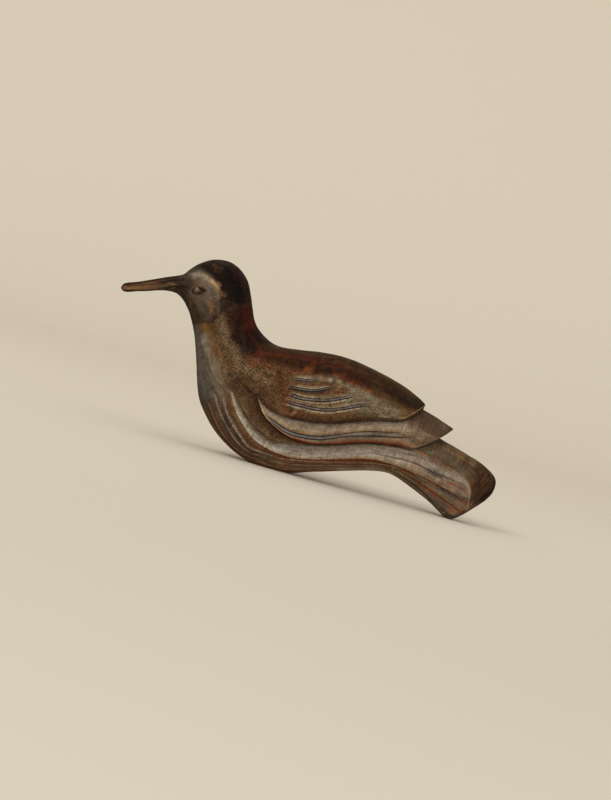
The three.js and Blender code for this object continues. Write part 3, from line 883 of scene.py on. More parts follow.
@dataclass(frozen=True)
class Band:
    """Paint that changes across the strip between two carved lines."""

    upper: str
    lower: str
    colours: tuple[tuple[float, str], ...]
    first: float
    last: float
    soft: float = 12.0
    strength: float = 1.0
    broken: float = 0.15


def line_distance(points: np.ndarray, places: np.ndarray) -> np.ndarray:
    """Gives each point's distance from an open line of places."""
    best = np.full(len(points), np.inf)
    for first, last in zip(places[:-1], places[1:]):
        line = last - first
        part = np.clip(((points - first) @ line) / max(line @ line, 1e-12), 0, 1)
        best = np.minimum(best, np.linalg.norm(points - first - part[:, None] * line, axis=1))
    return best


def inside(points: np.ndarray, places: np.ndarray) -> np.ndarray:
    """Tells which points lie inside a closed patch."""
    result = np.zeros(len(points), bool)
    x, y = points[:, 0], points[:, 1]
    for first, last in zip(places, np.roll(places, -1, axis=0)):
        if first[1] == last[1]:
            continue
        crosses = (first[1] > y) != (last[1] > y)
        reach = first[0] + (y - first[1]) * (last[0] - first[0]) / (last[1] - first[1])
        result ^= crosses & (x < reach)
    return result


class Painter:
    """Lays paint on one flank, coat by coat."""

    SQUARES_TO_A_SHARE = 3.75
    BILL_TIP = (121.0, 288.0)
    GROUND = "#5c4428"
    SEED = 7
    FLANKS_APART = 400
    WOBBLE = ((9, 0.7), (3, 0.4))
    BREAKS = ((2.2, 0.6), (1.1, 0.6))
    STROKE_WEAR = 0.35
    LINE_WEAR = 0.3
    LINE_WANDER = 0.06
    BAND_WANDER = 0.05
    TRIM_FADE = 6
    BARE_DOTS = 0.42
    BARE_HATCH = 0.3
    FAR_OFF = 99.0

    def __init__(self, carving: Carving, place: np.ndarray, side: int) -> None:
        """Sets out the flank's points on the squared drawing.

        Args:
            carving: the stations, rows and lines.
            place: the skin's points as along, across and up, in millimetres.
            side: 0 for the left flank, 1 for the right.
        """
        self.carving = carving
        self.shape = place.shape[:2]
        squares = self.SQUARES_TO_A_SHARE / carving.outline.share
        self.x = self.BILL_TIP[0] + place[..., 0].ravel() * squares
        self.y = self.BILL_TIP[1] - place[..., 2].ravel() * squares
        self.points = np.stack([self.x, self.y], 1)
        self.layer = carving.used_layer.ravel()
        self.row_layer = np.broadcast_to(carving.row_layer, self.shape).ravel()
        self.turn = carving.turn.ravel()
        self.space = place.reshape(-1, 3) + np.array([0, self.FLANKS_APART * side, 0])
        self.grain = Grain(self.SEED)
        self.colour = np.tile(srgb(self.GROUND), (len(self.x), 1))
        self.shares = {
            "dots": np.full(len(self.x), self.BARE_DOTS),
            "hatch": np.full(len(self.x), self.BARE_HATCH),
        }
        self.wobble = self._noise(self.WOBBLE)
        self.breaks = self._noise(self.BREAKS)
        self.there: Grids = {}
        self.lines = self._carved_lines()

    def _noise(self, parts: tuple[tuple[float, float], ...]) -> np.ndarray:
        """Adds up noises, each with its patch size in millimetres and its strength."""
        return sum(self.grain.at(self.space, size) * strength for size, strength in parts)

    def _whole(self, broken: float, wear: float) -> np.ndarray:
        """Gives how whole a broken coat is at every point, from 0 to 1."""
        return 1 - broken * np.clip(self.breaks + wear, 0, 1)

    def _carved_lines(self) -> Grids:
        """Names the turn of every carved line, at every station."""
        carving = self.carving
        lines = {
            "keel": carving.keel_turn,
            "covert_edge": carving.covert_edge,
            "wing_edge": carving.wing_edge,
            "cove": carving.cove[0],
            "bead": carving.bead[0],
        }
        names = ("flute_top", "flute_middle", "flute_bottom", "breast_1", "breast_2", "breast_3")
        lines.update({name: line[0] for name, line in zip(names, carving.flow)})
        for number, (turns, there, _) in enumerate(carving.feathers):
            lines[f"feather_{number + 1}"] = turns
            self.there[f"feather_{number + 1}"] = there
        return lines

    @staticmethod
    def _layer_of(line: str) -> int:
        """Gives the layer that a named line is cut into."""
        if line.startswith(("feather", "covert")):
            return 0
        return 1 if line in ("cove", "bead", "wing_edge") else 2

    def _mix(self, colour: np.ndarray, mask: np.ndarray) -> None:
        """Lays a colour over what is there."""
        mask = np.clip(mask, 0, 1)[:, None]
        self.colour = self.colour * (1 - mask) + colour * mask

    def _mask(self, stroke: Stroke) -> np.ndarray:
        """Works out how thickly a stroke covers each point."""
        places = np.array(stroke.places, float)
        if stroke.width:
            reach = stroke.width / 2 - line_distance(self.points, places)
        else:
            closed = np.vstack([places, places[:1]])
            reach = np.where(inside(self.points, places), 1, -1) * line_distance(self.points, closed)
        reach = reach + self.wobble * stroke.wander
        mask = smooth(0.5 + reach / max(stroke.soft, 0.1))
        mask = mask * np.isin(self.layer, stroke.layers)
        return mask * stroke.strength * self._whole(stroke.broken, self.STROKE_WEAR)

    def stroke(self, stroke: Stroke) -> None:
        """Lays one stroke."""
        self._mix(srgb(stroke.colour), self._mask(stroke))

    def patch(self, name: str, stroke: Stroke) -> None:
        """Sets how thickly a patch is dotted or hatched.

        Args:
            name: "dots" or "hatch".
            stroke: the patch; its strength is the share of marks.
        """
        mask = self._mask(replace(stroke, strength=1.0, broken=0.0))
        self.shares[name] = self.shares[name] * (1 - mask) + stroke.strength * mask

    def trim(self, trim: Trim) -> None:
        """Lays one thin line beside a carved line."""
        layer = self._layer_of(trim.line)
        rows = np.flatnonzero(self.carving.row_layer == layer)
        turns = self.lines[trim.line]
        speed = self.carving.speed(layer, turns)
        distance = np.full(self.shape, self.FAR_OFF)
        distance[:, rows] = (self.carving.turn[:, rows] - turns[:, None]) * speed[:, None] - trim.offset
        distance[self.carving.gone] = self.FAR_OFF
        distance = np.abs(distance.ravel()) + self.wobble * self.LINE_WANDER
        mask = smooth(1.25 - distance / max(trim.width / 2, 0.05))
        mask *= self._along(trim.first, trim.last, self.TRIM_FADE)
        mask *= np.repeat(self.there.get(trim.line, np.ones(self.shape[0])), self.shape[1])
        mask = mask * trim.strength * self._whole(trim.broken, self.LINE_WEAR)
        self._mix(srgb(trim.colour), mask)

    def _along(self, first: float, last: float, soft: float) -> np.ndarray:
        """Fades in and out between two places along the drawing."""
        return smooth((self.x - first) / soft) * smooth((last - self.x) / soft)

    def band(self, band: Band) -> None:
        """Lays paint that changes across a strip."""
        rows = self.row_layer == self._layer_of(band.lower)
        upper = np.repeat(self.lines[band.upper], self.shape[1])
        lower = np.repeat(self.lines[band.lower], self.shape[1])
        share = (self.turn - upper) / np.maximum(lower - upper, 1e-4)
        wandered = np.clip(share + self.wobble * self.BAND_WANDER, 0, 1)
        stops = np.array([stop for stop, _ in band.colours])
        values = np.array([srgb(colour) for _, colour in band.colours])
        colour = np.stack([np.interp(wandered, stops, values[:, k]) for k in range(3)], 1)
        within = (share >= -0.001) & (share <= 1.001) & (lower - upper > 1e-4)
        mask = (rows & within).astype(float)
        mask *= self._along(band.first, band.last, band.soft)
        mask *= band.strength * self._whole(band.broken, self.LINE_WEAR)
        self._mix(colour, mask)

    def finish(self) -> Grids:
        """Gives the paint in linear light and the shares of dots and hatching, as grids."""
        paint = light(np.clip(self.colour, 0, 1))
        shares = {name: share.reshape(*self.shape, 1) for name, share in self.shares.items()}
        return {"paint": paint.reshape(*self.shape, 3), **shares}


# The paint, on a squared side-view drawing: places are (across, down) in squares, the bill tip at (121, 288)

BILL_PAINT = (
    Stroke("#66492f", ((119, 288), (150, 286), (168, 285)), 15, 3, broken=0.15),
    Stroke("#7d6040", ((125, 288.5), (145, 287), (160, 286.5)), 3.6, 3, broken=0.4),
    Stroke("#4a3420", ((128, 286), (150, 284.5), (165, 283)), 1.6, 1.6, 0.8, broken=0.5),
    Stroke("#33271d", ((167, 284), (174, 284), (186, 284)), 18, 9, 0.85),
    Stroke("#6e5a44", ((158, 285.5), (166, 285.8), (174, 287.5)), 3, 2.6, 0.8, broken=0.3),
    Stroke("#74604a", ((164, 281), (170, 283), (178, 286)), 1.8, 1.8, 0.75),
    Stroke(
        "#1c130b", ((122, 284.5), (126, 283.4), (140, 281.6), (165, 277.4), (186, 273.5)), 3.8, 1.6,
        wander=0.3,
    ),
    Stroke("#20160c", ((122, 291.4), (140, 291.8), (165, 291.1), (176, 293)), 3.2, 1.6, wander=0.3),
    Stroke("#1d130a", ((120.5, 286), (120.5, 290)), 4.5, 2.4, wander=0.2),
    Stroke("#1c140e", ((163, 282.5), (172, 280.8), (184, 279.5)), 2, 1.6),
    Stroke("#1c140e", ((166, 288), (176, 286.5), (188, 287)), 2, 1.6),
)
HEAD_PAINT = (
    Stroke(
        "#2a2019", ((166, 279), (186, 268), (200, 256), (220, 252), (242, 260), (256, 285), (258, 306),
        (240, 308), (222, 314), (214, 322), (194, 324), (184, 305), (174, 294)), soft=4,
    ),
    Stroke(
        "#0f0a08", ((199, 265), (212, 258), (228, 258), (243, 272), (250, 290), (252, 302), (232, 303),
        (224, 298), (220, 290), (214, 277), (204, 270)), soft=5,
    ),
    Stroke(
        "#3d3a34", ((188, 272), (198, 263.5), (211, 259.5), (226, 260), (239, 268), (246, 282)), 4.5, 4,
        0.6, broken=0.5,
    ),
    Stroke("#4a2f1a", ((208, 263), (218, 268), (225, 276)), 7, 6, 0.55, broken=0.7),
    Stroke("#5f4026", ((214, 265), (217, 268), (216, 272)), 2.4, 2.4, 0.8, broken=0.7),
    Stroke("#5f4830", ((221, 267), (226, 271)), 2.6, 2.4, 0.8, broken=0.7),
    Stroke("#4d443a", ((219, 262), (228, 266), (235, 272)), 3, 3, 0.6, broken=0.7),
    Stroke("#070404", ((228, 274), (236, 284), (240, 298)), 12, 8, 0.95, broken=0.15),
    Stroke("#3a1a0e", ((238, 272), (245, 288), (248, 302)), 5, 5, 0.6, broken=0.4),
    Stroke(
        "#211b18", ((162, 282), (176, 276), (186, 277), (195, 285), (190, 292), (190, 303), (193, 318),
        (189, 318), (183, 303), (176, 294), (168, 291)), soft=4,
    ),
    Stroke(
        "#625545", ((189, 282), (196, 276), (206, 277), (213, 286), (218, 300), (216, 314), (208, 320),
        (197, 318), (191, 306), (187, 292)), soft=13,
    ),
    Stroke("#4f463c", ((199, 301), (205, 307), (207, 314)), 11, 9, 0.8, broken=0.5),
    Stroke("#261d15", ((191, 301), (195, 308), (199, 316)), 7, 6, 0.8, broken=0.35),
    Stroke(
        "#6f685e", ((184, 280), (191, 276), (200, 274), (208, 279), (212, 287)), 9, 8, 0.85, broken=0.35,
    ),
    Stroke("#9c9284", ((193, 276.5), (200, 274.5), (207, 278)), 4.5, 5, 0.75, broken=0.4),
    Stroke("#a08c6c", ((206, 277.5), (213, 281.5), (217.5, 287), (218.5, 296)), 5.5, 6, 0.75, broken=0.45),
    Stroke("#c4a67c", ((212.5, 281), (216, 284), (218, 288)), 3, 4, 0.75),
    Stroke("#8a5e38", ((218.5, 282), (221, 285.5)), 2, 2.6, 0.7, broken=0.6),
    Stroke("#7c5234", ((223.5, 294), (225.5, 295.5)), 5, 4.4, 0.8, broken=0.5),
    Stroke("#766e64", ((203, 285), (209, 292), (212, 300)), 6, 6, 0.6, broken=0.45),
    Stroke("#2c241d", ((203, 303), (208, 310), (206, 317)), 4, 5, 0.45, broken=0.75),
    Stroke("#7d7262", ((199, 297), (205, 300), (209, 306)), 3, 4, 0.45, broken=0.7),
    Stroke("#87593a", ((212, 302), (213.5, 307), (212.5, 311)), 5, 6, 0.65, broken=0.6),
    Stroke("#7a6a54", ((218, 292), (218.5, 303), (219.5, 314)), 4, 5, 0.55, broken=0.8),
    Stroke("#3a2c20", ((192, 317.5), (200, 319.8), (209, 320.5), (214, 318)), 2, 4, 0.5, broken=0.6),
    Stroke("#1d1713", ((168, 291), (179, 294), (187, 303), (191, 316), (193, 330)), 3.4, 2.6),
    Stroke("#6a4a32", ((190.5, 300), (191.5, 304)), 3, 2.5, 0.8),
    Stroke("#1a1512", ((183, 288), (189, 290.5), (193, 291)), 1.8, 1.8),
    Stroke("#8a8690", ((189.5, 290.5), (192, 291.8)), 2, 1.8, 0.8, wander=0.2),
    Stroke(
        "#2c241c", ((191.5, 291), (194.5, 287), (198.5, 285.6), (203, 287), (206, 290), (202, 294),
        (198, 295), (194, 294)), soft=2.2, wander=0.3,
    ),
    Stroke("#9a5a30", ((199, 286), (202, 286.2)), 2.4, 1.8, 0.9, wander=0.2),
    Stroke("#120e0b", ((203, 289.8), (206, 290.8)), 2.6, 1.8, 0.9, wander=0.2),
)
NECK_PAINT = (
    Stroke(
        "#5f4c35", ((213, 300), (226, 304), (232, 325), (242, 345), (258, 358), (250, 374), (232, 370),
        (218, 352), (212, 325)), soft=6,
    ),
    Stroke("#86745a", ((219, 306), (223, 322), (230, 342), (240, 358)), 8, 7, 0.7, broken=0.5),
    Stroke(
        "#170402", ((226, 297), (252, 299), (258, 318), (264, 335), (274, 348), (262, 357), (246, 354),
        (235, 342), (229, 322)), soft=10, broken=0.25,
    ),
    Stroke("#571504", ((246, 299), (249, 312), (252, 324)), 8, 8, 0.75, broken=0.45),
    Stroke("#4a1505", ((240, 310), (244, 322), (250, 336)), 5, 7, 0.4, broken=0.7),
    Stroke("#44261a", ((224, 303), (229, 322), (238, 342), (250, 356)), 7, 8, 0.6, broken=0.7),
    Stroke("#6b5b44", ((219, 312), (224, 328), (232, 344)), 4, 5, 0.6, broken=0.6),
    Stroke("#120704", ((238, 336), (250, 346), (262, 352)), 10, 6, 0.9),
    Stroke("#211a12", ((251, 294), (254.5, 316), (261, 334), (272, 346)), 3, 2.4, 0.7),
    Stroke(
        "#4e4a43", ((190, 318), (200, 323), (205, 338), (209, 356), (214, 378), (220, 398), (204, 400),
        (196, 385), (194, 360), (192, 335)), soft=7,
    ),
    Stroke("#523a20", ((199, 321), (213, 321), (216, 330), (210, 338), (203, 330)), soft=7),
    Stroke("#463829", ((192, 319), (203, 321.5), (215, 319)), 5, 7, 0.6, broken=0.5),
    Stroke("#6f5636", ((204, 325), (213, 341), (224, 357)), 8, 6, 0.8),
    Stroke("#837c6e", ((205, 337), (209, 350), (215, 366), (222, 380)), 8, 6, 0.85, broken=0.4),
    Stroke("#8a8374", ((220, 360), (230, 373), (239, 385)), 9, 8, 0.6, broken=0.5),
    Stroke("#5a5852", ((198, 345), (200, 368), (206, 392)), 4, 4, 0.8),
    Stroke(
        "#35302b", ((191.5, 318), (194.5, 340), (196, 362), (197.5, 386), (202, 408), (212, 426)), 3.4, 2.8,
        0.75,
    ),
    Stroke("#675c50", ((203, 366), (214, 380), (222, 392)), 7, 7, 0.6, broken=0.6),
    Stroke("#756a5c", ((226, 366), (234, 378), (243, 386)), 6, 6, 0.6, broken=0.6),
    Stroke("#7a4a28", ((216, 352), (228, 362), (240, 368)), 6, 6, 0.5, broken=0.7),
)
SHOULDER_PAINT = (
    Stroke(
        "#5c452d", ((224, 358), (240, 366), (256, 360), (280, 366), (300, 374), (296, 400), (280, 412),
        (262, 400), (246, 400), (232, 388)), soft=8,
    ),
    Stroke("#3c2a1e", ((238, 384), (250, 392), (263, 399), (276, 408)), 12, 8, 0.8, broken=0.5),
    Stroke("#86725b", ((240, 366), (256, 374), (270, 381)), 8, 7, 0.65, broken=0.6),
    Stroke("#6c3c22", ((248, 358), (265, 365), (284, 371), (302, 374)), 5.5, 4, 0.85, broken=0.7),
    Stroke("#957654", ((264, 369), (276, 373), (288, 377)), 3, 2.5, 0.6, broken=0.8),
)
BACK_PAINT = on_layer(
    Layer.COVERTS,
    Stroke(
        "#361a0b", ((252, 336), (264, 346), (282, 348), (312, 350), (342, 356), (372, 369), (400, 386),
        (426, 402), (416, 411), (396, 403), (370, 390), (345, 380), (320, 374), (292, 368), (262, 360)),
        soft=5,
    ),
    Stroke(
        "#5c2610", ((258, 354), (290, 362), (318, 369), (345, 379), (370, 391), (388, 400)), 5.5, 4, 0.85,
        broken=0.6,
    ),
    Stroke("#4a1c0b", ((275, 351), (310, 357), (340, 365), (362, 376)), 4.5, 4, 0.7, broken=0.5),
    Stroke("#1a1009", ((268, 357), (300, 364), (330, 372)), 3.5, 3, 0.8, broken=0.5),
    Stroke("#1a0f09", ((318, 362), (346, 372), (376, 387)), 5, 5, 0.8, broken=0.4),
    Stroke("#5f2a12", ((262, 352), (300, 358), (336, 368), (362, 381)), 2.4, 2, 0.7, broken=0.5),
    Stroke("#150c07", ((300, 367), (330, 375), (352, 386)), 2.2, 2, 0.75, broken=0.5),
    Stroke("#4f3d22", ((372, 386), (388, 396), (404, 407)), 4, 4, 0.75, broken=0.5),
    Stroke("#1d140c", ((376, 384), (394, 395), (408, 405)), 2, 2, 0.75, broken=0.6),
    Stroke("#66502e", ((384, 397), (396, 404), (404, 410)), 3, 3, 0.6, broken=0.6),
    Stroke(
        "#3a2c15", ((262, 345), (280, 349.5), (312, 353), (342, 359), (372, 372), (400, 388), (422, 402)),
        5, 4, 0.7, broken=0.6,
    ),
    Stroke("#100b07", ((288, 358), (316, 364), (344, 375), (366, 387)), 1.6, 1.4, 0.8, broken=0.5),
    Stroke("#4c3b22", ((300, 352), (330, 358), (360, 370), (392, 387)), 1.5, 1.4, 0.7, broken=0.6),
    Stroke("#4a3820", ((322, 359), (350, 368), (380, 384), (408, 400)), 1.4, 1.3, 0.7, broken=0.6),
    Stroke("#7b4122", ((334, 371), (352, 380), (372, 391)), 1.8, 1.6, 0.75, broken=0.5),
    Stroke("#241a10", ((376, 378), (400, 391), (426, 404), (416, 409), (398, 400)), soft=4, broken=0.3),
    Stroke("#4a3920", ((388, 396), (402, 404), (412, 409)), 2.4, 2, 0.7, broken=0.5),
)
COVERT_PAINT = on_layer(
    Layer.COVERTS,
    Stroke(
        "#624a2d", ((274, 374), (300, 375), (335, 378), (366, 391), (392, 405), (406, 412), (396, 422),
        (330, 424), (290, 418), (268, 398)), soft=7,
    ),
    Stroke(
        "#7b715d", ((350, 384), (372, 394), (392, 403), (402, 411), (392, 419), (368, 419), (350, 414),
        (342, 400)), soft=7, broken=0.5,
    ),
    Stroke("#948873", ((320, 377), (334, 379), (350, 387), (372, 400)), 7, 6, 0.7, broken=0.6),
    Stroke("#4f4130", ((374, 393), (384, 397), (396, 406)), 4, 4, 0.7, broken=0.5),
    Stroke("#572f19", ((282, 376), (283, 390), (288, 404), (300, 414)), 10, 8, 0.8, broken=0.6),
    Stroke("#46301c", ((296, 415), (330, 418), (374, 415)), 5.5, 4, 0.8, broken=0.4),
    Stroke("#64462c", ((306, 404), (330, 411), (356, 411)), 4.5, 3, 0.85, broken=0.5),
    Stroke("#6a432a", ((292, 388), (318, 391), (346, 389)), 4, 3, 0.85, broken=0.5),
    Stroke("#634028", ((290, 381), (312, 384), (330, 383)), 3.2, 2.4, 0.85, broken=0.5),
    Stroke("#7d4422", ((306, 369), (311, 369.5)), 5, 3, 0.9),
    Stroke("#a58358", ((287, 404), (291, 402), (295, 404), (295.5, 410), (291, 414)), 1.5, 1.2, 0.8),
    Stroke("#3a2a18", ((289, 407), (291.5, 406), (292.5, 410)), 1.6, 1.2, 0.8),
    Stroke(
        "#2c2822", ((327, 377), (330, 375.6), (333, 377), (333.8, 380), (332, 383), (328.5, 383.4),
        (326, 381)), 1.3, 1.1, 0.9, wander=0.1,
    ),
    Stroke("#a79b84", ((329, 378), (331, 380)), 2, 1.4, 0.8, wander=0.1),
    Stroke("#a79b84", ((336, 378), (341, 383), (336, 388)), 1.4, 1.4, 0.7),
)
WING_PAINT = on_layer(
    Layer.WING,
    Stroke("#66523c", ((255, 390), (300, 400), (460, 400), (460, 460), (300, 450), (262, 425)), soft=2),
    Stroke(
        "#4c3d2d", ((398, 418), (410, 412), (422, 406), (436, 414), (456, 429), (440, 437), (424, 429)),
        soft=3,
    ),
    Stroke(
        "#7c6c5a", ((372, 420), (402, 418), (424, 430), (442, 437), (422, 450), (396, 448), (372, 444)),
        soft=5,
    ),
    Stroke("#94866f", ((378, 424), (396, 424), (412, 430)), 4, 4, 0.8),
    Stroke("#4f3628", ((418, 427), (428, 432), (442, 438)), 2.2, 1.8, 0.55),
    Stroke("#7d5440", ((396, 446), (412, 444), (428, 441)), 2.4, 2.4, 0.6),
    Stroke("#8a7a6a", ((400, 440), (414, 437), (426, 436)), 2, 2, 0.7),
    # Painted shadow under the tip of the coverts.
    Stroke("#191310", ((401, 418), (409, 414), (418, 409), (427, 404)), 4, 3, 0.9),
    Stroke("#8d8069", ((440, 424), (452, 430)), 2, 2, 0.7),
)
BREAST_PAINT = on_layer(
    Layer.BODY,
    Stroke(
        "#4f3b26", ((196, 380), (225, 380), (262, 396), (300, 420), (330, 470), (260, 476), (215, 452),
        (196, 410)), soft=8,
    ),
    Stroke("#423c34", ((197, 384), (214, 386), (222, 400), (214, 412), (203, 404)), soft=6),
    Stroke("#6e6658", ((216, 384), (226, 388), (230, 396)), 9, 7, 0.7, broken=0.5),
    Stroke("#5a3a20", ((206, 410), (216, 428), (232, 446), (252, 460)), 12, 8, 0.85, broken=0.5),
)
TAIL_PAINT = on_layer(
    Layer.BODY,
    Stroke(
        "#5f5040", ((420, 440), (445, 442), (470, 455), (485, 467), (474, 485), (455, 468), (430, 458)),
        soft=5,
    ),
    Stroke("#5b4a34", ((456, 452), (472, 462), (484, 474)), 12, 8, 0.8, broken=0.4),
    Stroke(
        "#3a2817", ((474, 466), (484, 460), (499, 476), (498, 492), (484, 502), (472, 506), (470, 496),
        (472, 480)), soft=6,
    ),
    Stroke("#171009", ((480, 500), (494, 490), (497, 482)), 6, 4, 0.9),
    Stroke("#a0713f", ((449, 508), (453, 513)), 3.5, 3, 0.8),
    Stroke("#3a2c1e", ((446, 514), (456, 517), (466, 510)), 4, 3, 0.7),
    Stroke("#6f584e", ((444, 482), (462, 488)), 7, 7, 0.7),
    Stroke("#5a4a2a", ((375, 462), (390, 466), (404, 472), (418, 481)), 2.4, 2, 0.7, broken=0.4),
    Stroke("#8d8276", ((408, 470), (425, 478), (440, 484), (455, 491)), 2.2, 2, 0.7, broken=0.4),
    Stroke("#403c3c", ((412, 475), (430, 483.5), (443, 488)), 1.8, 1.8, 0.75, broken=0.4),
    Stroke("#3d3a3d", ((441, 488), (455, 495), (469, 500)), 5, 3.4, 0.85, broken=0.3),
    Stroke("#8a4a2c", ((421, 484), (430, 491), (438, 498)), 2.4, 2, 0.8, broken=0.3),
    Stroke("#a86a48", ((426, 489), (434, 496)), 1.4, 1.2, 0.8, broken=0.4),
    Stroke("#5b5652", ((438, 495), (450, 503), (460, 508)), 4, 3, 0.7, broken=0.4),
    Stroke("#8c5644", ((446, 505), (454, 511)), 2.8, 2.4, 0.8, broken=0.4),
    Stroke("#9a917f", ((392, 468), (408, 478), (424, 491), (440, 507)), 1.1, 1.1, 0.75, broken=0.4),
    Stroke("#2f261c", ((394, 470), (410, 481), (426, 495), (442, 510)), 1.1, 1.1, 0.8, broken=0.4),
    Stroke("#6d7078", ((424, 466), (432, 470), (440, 474)), 3.4, 3, 0.75, broken=0.5),
    Stroke("#332c2a", ((426, 468), (433, 473), (440, 476)), 1.6, 1.6, 0.8, broken=0.5),
    Stroke("#8a6852", ((440, 478), (452, 482), (466, 488)), 2.2, 2, 0.6, broken=0.5),
    Stroke("#854a38", ((446, 481), (456, 484), (466, 492)), 1.2, 1.2, 0.8, broken=0.3),
    Stroke("#6c6a6c", ((440, 490), (452, 497), (462, 503)), 3, 3, 0.7, broken=0.4),
    Stroke("#463b33", ((404, 452), (424, 457), (444, 466)), 1.2, 1.2, 0.6, broken=0.5),
    Stroke("#7a7f6a", ((425, 450), (444, 458), (458, 468), (465, 478)), 2, 2, 0.6, broken=0.4),
    Stroke("#8f6a3c", ((446, 446), (462, 454), (474, 463)), 4, 4, 0.45, broken=0.7),
)
UNDER_BANDS = (
    *BREAST_PAINT,
    *NECK_PAINT,
    *HEAD_PAINT,
    *BILL_PAINT,
    *SHOULDER_PAINT,
    *BACK_PAINT,
    *COVERT_PAINT,
    *WING_PAINT,
)
# Besides the plumage colours, the bands paint light. The dark stops that start several bands just under the
# covert and wing edges are painted shade. The pale lower parts of the cove and the flute are painted light
# where the hollows face up.
BANDS = (
    Band(
        "covert_edge", "cove", ((0, "#4a423c"), (0.05, "#7c7268"), (0.35, "#988b7d"), (0.68, "#a6967f"),
        (0.86, "#9a8267"), (1, "#705842")), 258, 412, broken=0.45,
    ),
    Band("cove", "bead", ((0, "#1f1f22"), (0.35, "#6f7075"), (0.6, "#8a8a8c"), (1, "#1f2128")), 266, 350),
    Band(
        "cove", "bead", ((0, "#54493f"), (0.4, "#8a7f74"), (0.7, "#978b7e"), (1, "#35302f")), 338, 404,
        broken=0.4,
    ),
    Band(
        "bead", "wing_edge", ((0, "#40372f"), (0.22, "#857562"), (0.5, "#7d6350"), (0.8, "#7b452e"),
        (1, "#431d10")), 258, 412, broken=0.35,
    ),
    Band(
        "wing_edge", "flute_top", ((0, "#20150d"), (0.2, "#402b18"), (0.6, "#5f4730"), (1, "#6b5943")), 236,
        318, broken=0.35,
    ),
    Band(
        "wing_edge", "flute_top", ((0, "#1e1511"), (0.2, "#403a36"), (0.6, "#6b655e"), (1, "#77716a")), 298,
        400, broken=0.3,
    ),
    Band(
        "wing_edge", "flute_top", ((0, "#73695b"), (0.4, "#675b4c"), (0.85, "#544a3e"), (1, "#3f362c")),
        396, 470, strength=0.75, broken=0.3,
    ),
    Band(
        "flute_top", "flute_bottom", ((0, "#4e3f2e"), (0.3, "#7c7062"), (0.58, "#aaa295"),
        (0.85, "#c9c2b3"), (1, "#a0967f")), 228, 290, 10, broken=0.3,
    ),
    Band(
        "flute_top", "flute_bottom", ((0, "#736a62"), (0.08, "#98918a"), (0.38, "#a7a199"),
        (0.68, "#bcb5aa"), (0.88, "#ab9a82"), (1, "#6a4029")), 270, 425, 14, broken=0.3,
    ),
    Band(
        "flute_top", "flute_middle", ((0, "#976f4c"), (0.1, "#6f6a60"), (0.4, "#8c867b"), (0.8, "#a29888"),
        (1, "#6a6258")), 404, 480, broken=0.3,
    ),
    Band(
        "flute_middle", "flute_bottom", ((0, "#736a60"), (0.15, "#8e8071"), (0.5, "#9d8b79"),
        (0.8, "#80705f"), (1, "#4a403a")), 396, 480, broken=0.3,
    ),
    Band(
        "flute_bottom", "breast_1", ((0, "#8a6e50"), (0.25, "#6a4a2e"), (0.75, "#573c26"), (1, "#8a8072")),
        222, 290, broken=0.4,
    ),
    Band(
        "flute_bottom", "breast_1", ((0, "#7a4024"), (0.4, "#7d4a2c"), (0.7, "#6a4a34"), (1, "#4a3226")),
        270, 400, broken=0.4,
    ),
    Band(
        "flute_bottom", "breast_1", ((0, "#8c4c2a"), (0.25, "#6f5a44"), (0.6, "#7f735f"), (1, "#332a24")),
        385, 480,
    ),
    Band(
        "breast_1", "breast_2", ((0, "#8a8478"), (0.25, "#68503a"), (0.75, "#5e3c22"), (1, "#7d7466")), 212,
        290, broken=0.4,
    ),
    Band(
        "breast_1", "breast_2", ((0, "#8b7966"), (0.3, "#70462e"), (0.55, "#4e2f1e"), (0.75, "#7a4c34"),
        (1, "#978470")), 270, 400,
    ),
    Band("breast_1", "breast_2", ((0, "#8c5030"), (0.4, "#75695a"), (1, "#3a3028")), 385, 480),
    Band(
        "breast_2", "breast_3", ((0, "#7d7568"), (0.3, "#664a32"), (0.8, "#5e3c22"), (1, "#6b5c4a")), 206,
        290, broken=0.4,
    ),
    Band(
        "breast_2", "breast_3", ((0, "#98866f"), (0.25, "#6a4027"), (0.5, "#84705c"), (0.8, "#6a4028"),
        (1, "#93805f")), 270, 345,
    ),
    Band(
        "breast_3", "keel", ((0, "#94806a"), (0.12, "#85573a"), (0.5, "#6f432b"), (0.8, "#8d5c3c"),
        (1, "#553120")), 232, 350,
    ),
    Band(
        "breast_2", "keel", ((0, "#6d5a45"), (0.3, "#918674"), (0.7, "#9c9280"), (1, "#7a6a52")), 330, 402,
    ),
    Band(
        "breast_2", "keel", ((0, "#4f463c"), (0.3, "#877861"), (0.5, "#4f3f30"), (0.7, "#7c6a50"),
        (1, "#46331f")), 392, 470,
    ),
)
